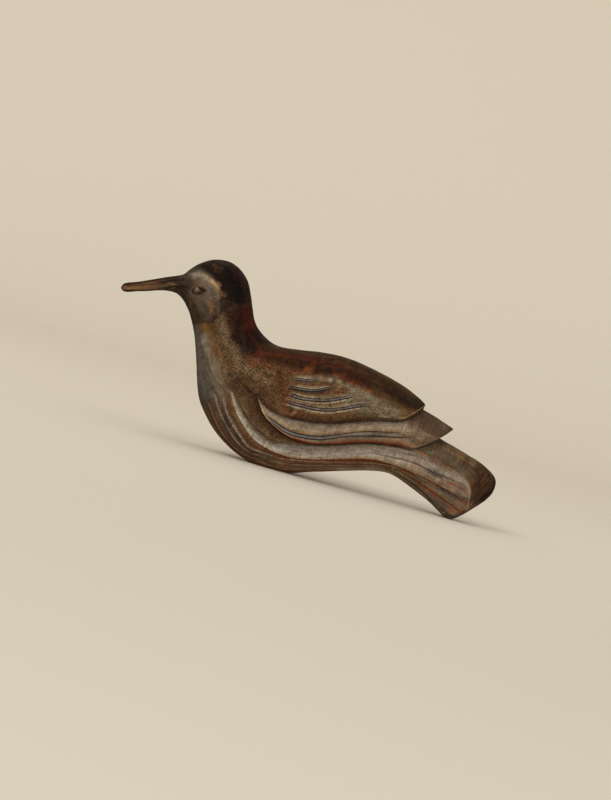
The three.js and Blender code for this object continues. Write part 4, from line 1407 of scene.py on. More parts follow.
# Several trims paint light: the dark lines along and just below the carved lines are painted shade, and the
# pale lines beside them are painted highlights on the ridges.
TRIMS = (
    Trim("#c0ab86", "wing_edge", -0.7, 1.6, 0.9, 255, 276),
    Trim("#2a1a10", "covert_edge", -0.5, 1.2, 0.75, 282, 396),
    Trim("#a88f66", "covert_edge", -0.6, 1.3, 0.9, 395, 428),
    Trim("#7a341c", "wing_edge", -1.1, 1.3, 0.85, 290, 404),
    Trim("#5f2a14", "flute_bottom", 0.9, 1.6, 0.85, 262, 420),
    Trim("#c4bdb0", "flute_bottom", -0.8, 1.0, 0.85, 230, 262),
    Trim("#b09a80", "flute_top", 0.9, 1.1, 0.7, 300, 410),
    Trim("#9a6240", "flute_top", 0.6, 1.3, 0.8, 410, 476),
    Trim("#aaa196", "breast_1", -0.9, 1.1, 0.95, 220, 252, 0.2),
    Trim("#a2998c", "breast_2", -0.9, 1.1, 0.95, 212, 252, 0.2),
    Trim("#998f81", "breast_3", -0.9, 1.0, 0.9, 206, 250, 0.2),
    Trim("#221914", "breast_1", 0.9, 1.2, 0.8, 220, 262, 0.2),
    Trim("#221914", "breast_2", 0.9, 1.2, 0.8, 212, 262, 0.2),
    Trim("#221914", "breast_3", 0.9, 1.2, 0.7, 206, 262, 0.2),
    Trim("#b3a48e", "breast_1", -0.9, 1.1, 0.85, 250, 400),
    Trim("#b3a48e", "breast_2", -0.9, 1.1, 0.85, 250, 400),
    Trim("#b3a48e", "breast_3", -0.9, 1.1, 0.8, 240, 345),
    Trim("#a08a78", "flute_middle", -1.1, 1.2, 0.7, 400, 474),
    Trim("#94552f", "flute_bottom", -1.0, 1.3, 0.7, 400, 470),
    Trim("#94552f", "breast_1", -1.0, 1.2, 0.75, 395, 465),
    Trim("#a5967e", "breast_2", -1.0, 1.0, 0.6, 395, 460),
    *(Trim("#3a2a20", f"feather_{k}", -2.4, 0.9, 0.6, 270, 380) for k in (1, 2, 3, 4)),
    *(Trim("#b5a68e", f"feather_{k}", -1.5, 0.9, 0.9, 270, 380, 0.25) for k in (1, 2, 3, 4)),
    *(Trim("#2b2a2e", f"feather_{k}", -0.75, 0.9, 0.8, 270, 380, 0.2) for k in (1, 2, 3, 4)),
    *(Trim("#85848a", f"feather_{k}", 0.1, 1.4, 0.9, 270, 380) for k in (1, 2, 3, 4)),
    *(Trim("#1b1c22", f"feather_{k}", 1.15, 1.1, 0.95, 270, 380, 0.15) for k in (1, 2, 3, 4)),
    *(Trim("#bcae96", f"feather_{k}", 2.0, 0.9, 0.9, 270, 380, 0.25) for k in (1, 2, 3, 4)),
)
HATCHING = (
    Stroke("", ((190, 330), (204, 330), (216, 390), (206, 410), (196, 400)), soft=6, strength=0.4),
    Stroke(
        "", ((472, 462), (486, 458), (502, 478), (499, 494), (480, 508), (468, 508)), soft=6, strength=1.0,
    ),
    Stroke(
        "", ((430, 440), (446, 440), (486, 464), (474, 482), (450, 462)), soft=5, strength=0.7, layers=(2,),
    ),
    Stroke(
        "", ((262, 350), (340, 352), (410, 392), (420, 410), (340, 376), (280, 366)), soft=6, strength=0.6,
    ),
    Stroke(
        "", ((232, 360), (262, 366), (300, 376), (290, 404), (262, 400), (236, 384)), soft=6, strength=0.6,
    ),
    Stroke("", ((160, 270), (230, 255), (250, 300), (215, 320), (190, 320)), soft=8, strength=0.1),
)
DOTS = (
    Stroke(
        "", ((222, 296), (230, 300), (236, 320), (246, 340), (256, 352), (252, 362), (236, 350),
        (226, 322)), soft=7, strength=1.0,
    ),
    Stroke(
        "", ((240, 296), (254, 298), (264, 334), (280, 350), (262, 352), (248, 336)), soft=8, strength=0.3,
    ),
    Stroke(
        "", ((213, 300), (228, 304), (240, 335), (262, 358), (300, 370), (300, 410), (262, 402), (236, 388),
        (220, 360), (213, 330)), soft=14, strength=1.0,
    ),
    Stroke(
        "", ((330, 364), (372, 378), (404, 398), (412, 408), (380, 400), (340, 382)), soft=8, strength=0.45,
        layers=(0,),
    ),
    Stroke(
        "", ((300, 395), (345, 385), (400, 405), (396, 422), (300, 418)), soft=8, strength=0.85, layers=(0,),
    ),
    Stroke(
        "", ((236, 390), (270, 410), (300, 436), (300, 446), (262, 440), (240, 410)), soft=6, strength=0.8,
        layers=(2,),
    ),
    Stroke("", ((160, 270), (230, 255), (250, 300), (215, 320), (190, 320)), soft=8, strength=0.22),
    Stroke(
        "", ((212, 296), (222, 290), (236, 300), (240, 316), (226, 326), (214, 320)), soft=5, strength=0.9,
    ),
    Stroke(
        "", ((204, 400), (232, 400), (262, 440), (290, 462), (270, 474), (230, 456), (208, 424)), soft=8,
        strength=0.75, layers=(2,),
    ),
)


# Building the meshes


@dataclass
class Shell:
    """A closed shape in the drawn pose: its points, its faces, and what is known of each point."""

    points: np.ndarray
    faces: list[list[int]]
    known: Grids


def ring_faces(rings: int, sides: int, joints: int) -> list[list[int]]:
    """Joins rings of points with faces; with as many joints as rings, the last ring joins the first."""
    faces = []
    for ring in range(joints):
        here, ahead = ring * sides, (ring + 1) % rings * sides
        for side in range(sides):
            after = (side + 1) % sides
            faces.append([here + side, here + after, ahead + after, ahead + side])
    return faces


@dataclass(frozen=True)
class CarvedEye:
    """A domed eye between two lids, cut in one with the head. Sizes are in millimetres."""

    RIM = "#2b1a0e"
    INNER = "#6a5230"
    OUTER = "#5c4224"
    PUPIL = "#1c140e"
    LOWER_LID = "#3c3228"
    UPPER_LID = "#62523e"

    place: tuple[float, float] = (20.55, -0.6)
    size: tuple[float, float, float] = (4.6, 3.0, 4.8)
    rise: float = 0.8
    pupil: tuple[float, float] = (0.15, -0.66)
    lid_length: float = 5.1
    lid_height: float = 2.75
    lid_thickness: float = 0.42
    lid_shift: float = 0.8
    lid_corner: float = 0.45
    lid_rings: int = 64
    lid_sides: int = 10
    sides: int = 40
    reach: float = 12.0

    def build(self, skin: np.ndarray, share: float, side: int) -> list[Shell]:
        """Builds the eye of one flank.

        Args:
            skin: points of the flank as along, across and up, in millimetres.
            share: one share in millimetres.
            side: 0 for the left flank, 1 for the right.

        Returns:
            The dome and the ring of the lids.
        """
        middle = np.array([self.place[0] * share, self.place[1] * share])
        near = skin[np.hypot(skin[:, 0] - middle[0], skin[:, 2] - middle[1]) < self.reach]
        shells = (self._dome(near, middle), self._lids(near, middle))
        return [self._flank(shell, side) for shell in shells]

    @staticmethod
    def _flank(shell: Shell, side: int) -> Shell:
        """Puts a shell on its own flank, with its faces outwards."""
        if side == 0:
            shell.points = shell.points * np.array([1, -1, 1])
            shell.faces = [face[::-1] for face in shell.faces]
        return shell

    @staticmethod
    def _across(near: np.ndarray, places: np.ndarray) -> np.ndarray:
        """Gives how far out the skin lies at places of the side view."""
        apart = places[:, None] - near[None, :, ::2]
        gap = np.hypot(apart[..., 0], apart[..., 1])
        weight = 1 / np.maximum(gap, 0.05) ** 4
        return (weight * near[None, :, 1]).sum(1) / weight.sum(1)

    def _dome(self, near: np.ndarray, middle: np.ndarray) -> Shell:
        """Makes the painted dome: a dark rim, dull amber and a small pupil low in it."""
        rings = self.sides // 2
        tilt = np.linspace(0, math.pi, rings + 1)[:, None]
        turn = np.linspace(0, 2 * math.pi, self.sides, endpoint=False)[None]
        level = np.broadcast_to(np.cos(tilt), (rings + 1, self.sides))
        unit = np.stack([np.sin(tilt) * np.cos(turn), level, np.sin(tilt) * np.sin(turn)], -1).reshape(-1, 3)
        out = self._across(near, middle[None])[0] + self.rise - self.size[1] / 2
        points = unit * np.array(self.size) / 2 + np.array([middle[0], out, middle[1]])
        rim = np.hypot(unit[:, 0], unit[:, 2])
        pupil = np.hypot(unit[:, 0] - self.pupil[0], unit[:, 2] - self.pupil[1])
        paint = mix(srgb(self.INNER), srgb(self.OUTER), smooth((rim[:, None] - 0.2) / 0.6))
        paint = mix(paint, srgb(self.RIM), smooth((rim[:, None] - 0.82) / 0.12))
        paint = mix(srgb(self.PUPIL), paint, smooth((pupil[:, None] - 0.2) / 0.2))
        return self._closed(points, paint)

    def _lids(self, near: np.ndarray, middle: np.ndarray) -> Shell:
        """Makes the almond ring of the lids, thinner at its two corners."""
        turn = np.linspace(0, 2 * math.pi, self.lid_rings, endpoint=False)
        rise = np.sin(turn) * np.abs(np.sin(turn)) ** 0.4 * self.lid_height
        along = middle[0] + self.lid_shift + self.lid_length * np.cos(turn)
        path = np.stack([along, middle[1] + rise], 1)
        outward = path - path.mean(0)
        outward /= np.linalg.norm(outward, axis=1, keepdims=True)
        thick = self.lid_thickness * mix(self.lid_corner, 1.0, smooth(np.abs(np.sin(turn)) * 1.6))
        angle = np.linspace(0, 2 * math.pi, self.lid_sides, endpoint=False)
        out = self._across(near, path)
        across = out[:, None] + (np.sin(angle) * thick[:, None]) * 0.9
        level = path[:, None] + outward[:, None] * (np.cos(angle) * thick[:, None])[..., None]
        points = np.stack([level[..., 0], across, level[..., 1]], -1).reshape(-1, 3)
        upper = np.repeat(smooth(np.sin(turn) + 0.5), self.lid_sides)[:, None]
        paint = mix(srgb(self.LOWER_LID), srgb(self.UPPER_LID), upper)
        faces = ring_faces(self.lid_rings, self.lid_sides, self.lid_rings)
        return Shell(points, faces, self._known(len(points), paint, 0.0))

    @staticmethod
    def _known(count: int, paint: np.ndarray, varnish: float) -> Grids:
        """Gives what is known of the points of a small shell."""
        zero = np.zeros((count, 1))
        return {
            "flow": np.zeros((count, 2)),
            "dirt_and_shade": zero,
            "paint": light(paint),
            "dots": zero + 0.2,
            "hatch": zero,
            "varnish": zero + varnish,
        }

    def _closed(self, points: np.ndarray, paint: np.ndarray) -> Shell:
        """Closes the dome's rings of points between its two poles."""
        sides = self.sides
        body = points[sides:-sides]
        rings = len(body) // sides
        top, bottom = len(body), len(body) + 1
        faces = ring_faces(rings, sides, rings - 1)
        for side in range(sides):
            after = (side + 1) % sides
            faces.append([top, after, side])
            faces.append([bottom, (rings - 1) * sides + side, (rings - 1) * sides + after])
        kept = np.concatenate([paint[sides:-sides], paint[:1], paint[-1:]])
        joined = np.concatenate([body, points[:1], points[-1:]])
        return Shell(joined, faces, self._known(len(joined), kept, 1.0))


@dataclass
class CarvedBird:
    """The whole bird as one carved and painted piece."""

    LEAST_ROW = 0.12
    END_GRAIN_STRETCH = 2

    outline: Outline = field(default_factory=Outline)
    steps: Steps = field(default_factory=Steps)
    depths: Depths = field(default_factory=Depths)
    density: MeshDensity = field(default_factory=MeshDensity)
    eye: CarvedEye = field(default_factory=CarvedEye)
    merge_distance: float = 0.01
    end_grain_length: float = 16.0
    sharp_angle: float = 48.0

    def __post_init__(self) -> None:
        """Lays out the carving and how the bird lies."""
        self.carving = Carving(self.outline, self.steps, self.depths, self.density)
        self.rest = Rest(self.outline)

    def build(self, middle: float) -> bpy.types.Object:
        """Builds the carved skin.

        Args:
            middle: where the middle of the bird's length lies along X, in metres.

        Returns:
            The finished piece.
        """
        carving = self.carving
        depth, dirt_and_shade = carving.depth()
        points = carving.sections.points(carving.used_layer, carving.turn, depth)
        place = carving.sections.points(carving.used_layer, carving.turn, 0.0)
        last = carving.walked[-1] - self.end_grain_length
        walked = carving.walked + self.END_GRAIN_STRETCH * np.maximum(carving.walked - last, 0)
        flow = np.stack([np.broadcast_to(walked[:, None], depth.shape), self._strands(place)], -1)
        rows = {"flow": flow, "dirt_and_shade": dirt_and_shade[..., None], "varnish": np.zeros((*depth.shape, 1))}
        paints = [self._painted(place, side) for side in (0, 1)]
        shells = [self._skin(points, rows, paints)]
        for side in (0, 1):
            shells += self.eye.build(points.reshape(-1, 3), self.outline.share, side)
        piece = bpy.data.objects.new(PIECE_NAME, self._mesh(shells, middle))
        bpy.context.scene.collection.objects.link(piece)
        return piece

    def _strands(self, place: np.ndarray) -> np.ndarray:
        """Gives every row's mean distance from the back, so that brush streaks follow the carved lines."""
        steps = np.linalg.norm(np.diff(place, axis=1), axis=2)
        walked = np.concatenate([[0], np.cumsum(np.maximum(steps.mean(0), self.LEAST_ROW))])
        return np.broadcast_to(walked, place.shape[:2])

    def _painted(self, place: np.ndarray, side: int) -> Grids:
        """Paints one flank, coat by coat.

        Args:
            place: the skin's points as along, across and up, in millimetres.
            side: 0 for the left flank, 1 for the right.

        Returns:
            The paint and the shares of dots and hatching, as grids.
        """
        painter = Painter(self.carving, place, side)
        for stroke in UNDER_BANDS:
            painter.stroke(stroke)
        for band in BANDS:
            painter.band(band)
        for stroke in TAIL_PAINT:
            painter.stroke(stroke)
        for trim in TRIMS:
            painter.trim(trim)
        for name, patches in (("dots", DOTS), ("hatch", HATCHING)):
            for patch in patches:
                painter.patch(name, patch)
        return painter.finish()

    def _skin(self, flank: np.ndarray, rows: Grids, paints: list[Grids]) -> Shell:
        """Joins the two flanks into one closed skin.

        Args:
            flank: the points of the right flank as along, across and up, in millimetres.
            rows: what else is known of each point, the same on both flanks.
            paints: what is known of the left flank's points, and of the right flank's.

        Returns:
            The skin.
        """
        count, width = flank.shape[:2]
        left = flank * np.array([1, -1, 1])
        points = np.concatenate([left.reshape(-1, 3), flank.reshape(-1, 3)])
        known = {}
        for name, values in rows.items():
            known[name] = np.tile(values.reshape(count * width, -1), (2, 1))
        for name in paints[0]:
            known[name] = np.concatenate([side[name].reshape(count * width, -1) for side in paints])
        keys = np.round(points / self.merge_distance).astype(np.int64)
        _, first, back = np.unique(keys, axis=0, return_index=True, return_inverse=True)
        index = back.reshape(2, count, width)
        a, b = index[:, :-1, :-1], index[:, 1:, :-1]
        c, d = index[:, 1:, 1:], index[:, :-1, 1:]
        quads = np.stack([a, b, c, d], -1)
        quads[0] = quads[0][..., ::-1]
        faces = [self._clean(face) for face in quads.reshape(-1, 4).tolist()]
        kept = {name: values[first] for name, values in known.items()}
        times = Counter(frozenset(face) for face in faces)
        return Shell(points[first], [face for face in faces if face and times[frozenset(face)] == 1], kept)

    def _mesh(self, shells: list[Shell], middle: float) -> bpy.types.Mesh:
        """Lays the shells to rest as one mesh.

        Args:
            shells: the skin first, then the eyes.
            middle: where the middle of the bird's length lies along X, in metres.

        Returns:
            The mesh, with its paint and masks as attributes.
        """
        laid = [self.rest.lay(shell.points) for shell in shells]
        self.shift = middle / METRES - (laid[0][:, 0].min() + laid[0][:, 0].max()) / 2
        points = np.concatenate(laid) + np.array([self.shift, 0, 0])
        faces: list[list[int]] = []
        start = 0
        for shell in shells:
            faces += [[corner + start for corner in face] for face in shell.faces]
            start += len(shell.points)
        mesh = bpy.data.meshes.new(PIECE_NAME)
        mesh.from_pydata((points * METRES).tolist(), [], faces)
        known = {}
        for name in shells[0].known:
            known[name] = np.concatenate([shell.known[name] for shell in shells])
        self._store(mesh, known)
        mesh.shade_smooth()
        mesh.set_sharp_from_angle(angle=math.radians(self.sharp_angle))
        return mesh

    @staticmethod
    def _clean(face: list[int]) -> list[int]:
        """Drops the corners of a face that fall on one another."""
        kept = [corner for k, corner in enumerate(face) if corner != face[k - 1]]
        return kept if len(kept) > 2 and len(set(kept)) == len(kept) else []

    @staticmethod
    def _store(mesh: bpy.types.Mesh, known: Grids) -> None:
        """Keeps the paint and its masks as attributes of the mesh."""
        count = len(mesh.vertices)
        paint = mesh.color_attributes.new("paint", "FLOAT_COLOR", "POINT")
        paint.data.foreach_set("color", np.hstack([known["paint"], np.ones((count, 1))]).ravel())
        for name in ("dots", "hatch", "dirt_and_shade", "varnish"):
            mesh.attributes.new(name, "FLOAT", "POINT").data.foreach_set("value", known[name].ravel())
        flow = np.hstack([known["flow"], np.zeros((count, 1))]) * METRES
        mesh.attributes.new("flow", "FLOAT_VECTOR", "POINT").data.foreach_set("vector", flow.ravel())


# The studio


@dataclass(frozen=True)
class Lamp:
    """A round soft lamp: where it stands from the bird and how wide it is, in metres, and its watts."""

    name: str
    place: tuple[float, float, float]
    size: float
    power: float
    colour: str


LAMPS = (
    Lamp("key", (-2.4, -3.0, 3.0), 2.0, 66, "#fff6e8"),
    Lamp("fill", (3.0, -3.2, 1.0), 3.0, 20, "#fff6ea"),
    Lamp("low_fill", (-0.6, -3.0, 0.1), 2.4, 26, "#fff6ea"),
)


@dataclass
class Studio:
    """A pale sweep, soft light, and the camera at the drawing's own view."""

    paper: str = "#dfd7c8"
    floor_paper: str = "#d2cbbc"
    distance: float = 2.0
    seen_height: float = 0.576
    lean: float = 0.0
    raised: float = 2.0
    sky: tuple[float, ...] = (1.0, 0.985, 0.955, 1)
    sky_strength: float = 0.72

    def build(self, target: Vector) -> None:
        """Sets up the sweep, the lights and the camera.

        Args:
            target: the point at the middle of the picture.
        """
        self._sweep()
        self._lights(target)
        self._camera(target)

    def _sweep(self) -> None:
        """Makes a floor that curves up into a wall, so that no horizon shows."""
        radius, depth, height, reach, front, steps = 0.9, 1.5, 4.0, 5.0, -3.5, 24
        profile = [(front, 0.0), (depth, 0.0)]
        for step in range(1, steps + 1):
            angle = math.radians(90 * step / steps)
            profile.append((depth + radius * math.sin(angle), radius * (1 - math.cos(angle))))
        profile.append((depth + radius, height))
        points = [(x, y, z) for y, z in profile for x in (-reach, reach)]
        faces = [(2 * k, 2 * k + 1, 2 * k + 3, 2 * k + 2) for k in range(len(profile) - 1)]
        mesh = bpy.data.meshes.new("sweep")
        mesh.from_pydata(points, [], faces)
        mesh.shade_smooth()
        sweep = bpy.data.objects.new("sweep", mesh)
        bpy.context.scene.collection.objects.link(sweep)
        paper = bpy.data.materials.new("sweep_paper")
        paper.use_nodes = True
        shader = paper.node_tree.nodes["Principled BSDF"]
        links = Links(paper.node_tree)
        back = links.add("ShaderNodeSeparateXYZ", {0: links.place()}).outputs[1]
        behind = links.ramp(back, -1.0, 0.3)
        colour = links.mix(behind, linear(self.floor_paper), linear(self.paper))
        links.feed(shader, {"Base Color": colour, "Roughness": 0.9, "Specular IOR Level": 0.1})
        mesh.materials.append(paper)

    @staticmethod
    def _area(lamp: Lamp, target: Vector) -> None:
        """Adds one soft lamp that faces the bird."""
        place = target + Vector(lamp.place)
        soft_light = bpy.data.lights.new(lamp.name, "AREA")
        soft_light.shape = "DISK"
        soft_light.size = lamp.size
        soft_light.energy = lamp.power
        soft_light.color = light(srgb(lamp.colour))
        lit = bpy.data.objects.new(lamp.name, soft_light)
        lit.location = place
        lit.rotation_euler = (target - place).to_track_quat("-Z", "Y").to_euler()
        bpy.context.scene.collection.objects.link(lit)

    def _lights(self, target: Vector) -> None:
        """Adds a large key from the upper left, two fills, and an even sky."""
        for lamp in LAMPS:
            self._area(lamp, target)
        world = bpy.data.worlds.new("studio")
        world.use_nodes = True
        background = world.node_tree.nodes["Background"]
        background.inputs["Color"].default_value = self.sky
        background.inputs["Strength"].default_value = self.sky_strength
        bpy.context.scene.world = world
        bpy.context.scene.view_settings.view_transform = "Standard"

    def _camera(self, target: Vector) -> None:
        """Aims a long lens at the bird's left side, rolled so that the bird appears as drawn."""
        rise = math.radians(self.raised)
        right = Vector((math.cos(self.lean), 0, math.sin(self.lean)))
        level_up = Vector((-math.sin(self.lean), 0, math.cos(self.lean)))
        away = Vector((0, math.cos(rise), 0)) - level_up * math.sin(rise)
        back = -away
        up = back.cross(right)
        camera = bpy.data.cameras.new("drawing_view")
        camera.lens = camera.sensor_width * self.distance / self.seen_height
        camera.clip_end = 50
        seen = bpy.data.objects.new("drawing_view", camera)
        turn = Matrix((right, up, back)).transposed()
        seen.matrix_world = Matrix.Translation(target + back * self.distance) @ turn.to_4x4()
        bpy.context.scene.collection.objects.link(seen)
        bpy.context.scene.camera = seen


# Finishes


Socket = bpy.types.NodeSocket
Value = Socket | float | tuple[float, ...] | str
Inputs = dict[str | int, Value]


class Links:
    """Adds nodes to a tree and joins them."""

    def __init__(self, tree: bpy.types.NodeTree) -> None:
        """Keeps the tree."""
        self.tree = tree

    def add(self, kind: str, inputs: Inputs | None = None, **settings: object) -> bpy.types.Node:
        """Adds a node with its settings, and feeds its inputs."""
        node = self.tree.nodes.new(kind)
        for name, value in settings.items():
            setattr(node, name, value)
        self.feed(node, inputs or {})
        return node

    def feed(self, node: bpy.types.Node, inputs: Inputs) -> None:
        """Joins outputs to a node's inputs, or sets the inputs' own values."""
        for key, value in inputs.items():
            if isinstance(value, Socket):
                self.tree.links.new(value, node.inputs[key])
            else:
                node.inputs[key].default_value = value

    def math(self, operation: str, *values: Value) -> Socket:
        """Adds a maths node and gives its result."""
        return self.add("ShaderNodeMath", dict(enumerate(values)), operation=operation).outputs[0]

    def times(self, *values: Value) -> Socket:
        """Multiplies two values."""
        return self.math("MULTIPLY", *values)

    def minus(self, *values: Value) -> Socket:
        """Takes the second value from the first."""
        return self.math("SUBTRACT", *values)

    def plus(self, *values: Value) -> Socket:
        """Adds two values."""
        return self.math("ADD", *values)

    def mix(self, share: Value, first: Value, second: Value, blend: str = "MIX") -> Socket:
        """Adds a colour mix and gives its result."""
        inputs = {0: share, 6: first, 7: second}
        return self.add("ShaderNodeMix", inputs, data_type="RGBA", blend_type=blend).outputs[2]

    def ramp(self, value: Socket, low: float, high: float) -> Socket:
        """Stretches a value between two limits to run from 0 to 1."""
        inputs = {"Value": value, "From Min": low, "From Max": high}
        node = self.add("ShaderNodeMapRange", inputs, clamp=True, interpolation_type="SMOOTHSTEP")
        return node.outputs[0]

    def noise(self, vector: Socket, scale: float, detail: float = 2.0, rough: float = 0.5) -> Socket:
        """Adds a noise texture and gives its value."""
        inputs = {"Vector": vector, "Scale": scale, "Detail": detail, "Roughness": rough}
        return self.add("ShaderNodeTexNoise", inputs).outputs[0]

    def stretched(self, vector: Socket, scale: Value) -> Socket:
        """Scales a vector and gives the result."""
        return self.add("ShaderNodeVectorMath", {0: vector, 1: scale}, operation="MULTIPLY").outputs[0]

    def attribute(self, name: str, output: str) -> Socket:
        """Reads one of the mesh's attributes."""
        return self.add("ShaderNodeAttribute", attribute_name=name).outputs[output]

    def place(self) -> Socket:
        """Gives the place in the object."""
        return self.add("ShaderNodeTexCoord").outputs["Object"]


def new_group(
    name: str, inputs: tuple[tuple[str, str, object], ...], outputs: tuple[tuple[str, str], ...]
) -> tuple[bpy.types.NodeTree, Links, bpy.types.Node, bpy.types.Node]:
    """Starts a shader node group.

    Args:
        name: the group's name.
        inputs: name, socket kind and first value of each input.
        outputs: name and socket kind of each output.

    Returns:
        The group, its links, its input node and its output node.
    """
    tree = bpy.data.node_groups.new(name, "ShaderNodeTree")
    for label, kind, value in inputs:
        socket = tree.interface.new_socket(label, in_out="INPUT", socket_type=kind)
        if value is not None:
            socket.default_value = value
    for label, kind in outputs:
        tree.interface.new_socket(label, in_out="OUTPUT", socket_type=kind)
    links = Links(tree)
    return tree, links, links.add("NodeGroupInput"), links.add("NodeGroupOutput")


def old_paint_group() -> bpy.types.NodeTree:
    """Builds the group that breaks up a coat of old paint with dots, brush streaks and rubbed places."""
    tree, links, given, result = new_group(
        "old_paint",
        (
            ("Paint", "NodeSocketColor", (0.2, 0.15, 0.1, 1)),
            ("Dots", "NodeSocketFloat", 0.5),
            ("Streaks", "NodeSocketFloat", 0.5),
            ("Hatch", "NodeSocketFloat", 0.0),
            ("Flow", "NodeSocketVector", None),
            ("Place", "NodeSocketVector", None),
            ("Dark", "NodeSocketColor", (0.01, 0.007, 0.005, 1)),
            ("Light", "NodeSocketColor", (0.4, 0.3, 0.2, 1)),
            ("Red", "NodeSocketColor", (0.2, 0.06, 0.02, 1)),
        ),
        (("Paint", "NodeSocketColor"), ("Height", "NodeSocketFloat"), ("Dryness", "NodeSocketFloat")),
    )
    paint, dots, streaks, hatch, flow, place, dark, pale, red = given.outputs[:9]
    fine = links.noise(place, 1700, 1.0, 0.6)
    spots = links.noise(place, 850, 2.0, 0.6)
    large = links.noise(place, 90, 3.0, 0.6)
    middling = links.noise(place, 260, 2.0, 0.6)
    streak = links.noise(links.stretched(flow, (90, 1150, 1)), 1.0, 3.0, 0.65)
    long_streak = links.noise(links.stretched(flow, (34, 700, 1)), 1.0, 2.0, 0.55)
    across = links.noise(links.stretched(flow, (1000, 110, 1)), 1.0, 2.0, 0.6)
    uneven = links.times(links.minus(middling, 0.5), 0.45)
    speck = links.plus(links.plus(fine, links.times(spots, 0.8)), uneven)
    dark_share = links.times(links.ramp(speck, 0.84, 1.08), links.times(dots, 0.78))
    light_share = links.times(links.ramp(speck, 0.82, 0.62), links.times(dots, 0.36))
    red_share = links.times(links.ramp(links.minus(spots, uneven), 0.53, 0.66), links.times(dots, 0.3))
    blotch = links.ramp(large, 0.3, 0.7)
    toned = paint
    for share, tone in (
        (links.times(blotch, 0.5), (0.6, 0.56, 0.53, 1)),
        (links.times(links.times(links.ramp(streak, 0.5, 0.64), streaks), 0.6), (0.36, 0.31, 0.28, 1)),
        (links.times(links.times(links.ramp(long_streak, 0.46, 0.32), streaks), 0.55), (1.75, 1.6, 1.45, 1)),
        (links.times(links.times(links.ramp(across, 0.5, 0.62), hatch), 0.8), (0.4, 0.36, 0.33, 1)),
        (links.times(links.times(links.ramp(across, 0.46, 0.35), hatch), 0.8), (1.9, 1.7, 1.4, 1)),
    ):
        toned = links.mix(share, toned, links.mix(1.0, toned, tone, "MULTIPLY"))
    toned = links.mix(light_share, toned, links.mix(1.0, toned, pale, "SCREEN"))
    toned = links.mix(red_share, toned, red)
    toned = links.mix(dark_share, toned, dark)
    height = links.plus(links.times(streak, 0.7), links.times(fine, 0.5))
    links.feed(result, {"Paint": toned, "Height": height, "Dryness": blotch})
    return tree


@dataclass(frozen=True)
class Finish:
    """What the finishes share: a coat of old paint in the mesh's own colours, with its relief."""

    name: str
    streaks: float
    bump: float
    bump_depth: float
    dark: str
    light: str
    red: str

    def _coat(
        self, group: bpy.types.NodeTree, flow: str
    ) -> tuple[bpy.types.Material, Links, bpy.types.Node, bpy.types.Node]:
        """Starts a material with the coat and its relief.

        Args:
            group: the old paint's group.
            flow: the attribute that the brush streaks follow, or nothing for the place in the object.

        Returns:
            The material, its links, its shader, and the node of the coat.
        """
        material = bpy.data.materials.new(self.name)
        material.use_nodes = True
        links = Links(material.node_tree)
        place = links.place()
        inputs = {
            "Paint": links.attribute("paint", "Color"),
            "Flow": links.attribute(flow, "Vector") if flow else place,
            "Place": place,
            "Streaks": self.streaks,
            "Dark": linear(self.dark),
            "Light": linear(self.light),
            "Red": linear(self.red),
        }
        coat = links.add("ShaderNodeGroup", inputs, node_tree=group)
        relief = {"Strength": self.bump, "Distance": self.bump_depth, "Height": coat.outputs["Height"]}
        shader = material.node_tree.nodes["Principled BSDF"]
        links.feed(shader, {"Normal": links.add("ShaderNodeBump", relief).outputs["Normal"]})
        return material, links, shader, coat


@dataclass(frozen=True)
class WornPaint(Finish):
    """Old thin paint on carved wood, darkened with dark grime and painted shade in the grooves and painted
    shade below the layers' edges.
    """

    name: str = "worn_paint"
    streaks: float = 0.85
    bump: float = 0.4
    bump_depth: float = 0.00025
    dark: str = "#1a0f08"
    light: str = "#66584a"
    red: str = "#6e3418"
    roughness: tuple[float, float] = (0.6, 0.8)
    specular: float = 0.06
    grime_and_shade: str = "#1a1412"
    grime_and_shade_share: float = 0.66
    grime_and_shade_grain: float = 500

    def build(self, group: bpy.types.NodeTree) -> bpy.types.Material:
        """Builds the material from the old paint's group."""
        material, links, shader, coat = self._coat(group, "flow")
        for name in ("Dots", "Hatch"):
            links.feed(coat, {name: links.attribute(name.lower(), "Fac")})
        # Darkens the paint by the mask: dark grime and painted shade in the grooves, painted shade below the
        # layers' edges.
        broken = links.ramp(links.noise(links.place(), self.grime_and_shade_grain), 0.25, 0.6)
        grime_and_shade = links.times(links.times(links.attribute("dirt_and_shade", "Fac"), broken), self.grime_and_shade_share)
        low, high = self.roughness
        limits = {"Value": coat.outputs["Dryness"], "To Min": low, "To Max": high}
        inputs = {
            "Base Color": links.mix(grime_and_shade, coat.outputs["Paint"], linear(self.grime_and_shade)),
            "Roughness": links.add("ShaderNodeMapRange", limits).outputs[0],
            "Specular IOR Level": self.specular,
        }
        links.feed(shader, inputs)
        return material


@dataclass(frozen=True)
class EyePaint(Finish):
    """Amber paint on the carved eye, with a dark rim and pupil, under a little varnish."""

    name: str = "eye_paint"
    streaks: float = 0.2
    bump: float = 0.2
    bump_depth: float = 0.0002
    dark: str = "#1c120a"
    light: str = "#6a5232"
    red: str = "#8a4a20"
    dots: float = 0.4
    roughness: float = 0.3

    def build(self, group: bpy.types.NodeTree) -> bpy.types.Material:
        """Builds the material from the old paint's group."""
        material, links, shader, coat = self._coat(group, "")
        links.feed(coat, {"Dots": self.dots})
        links.feed(shader, {"Base Color": coat.outputs["Paint"], "Roughness": self.roughness})
        return material


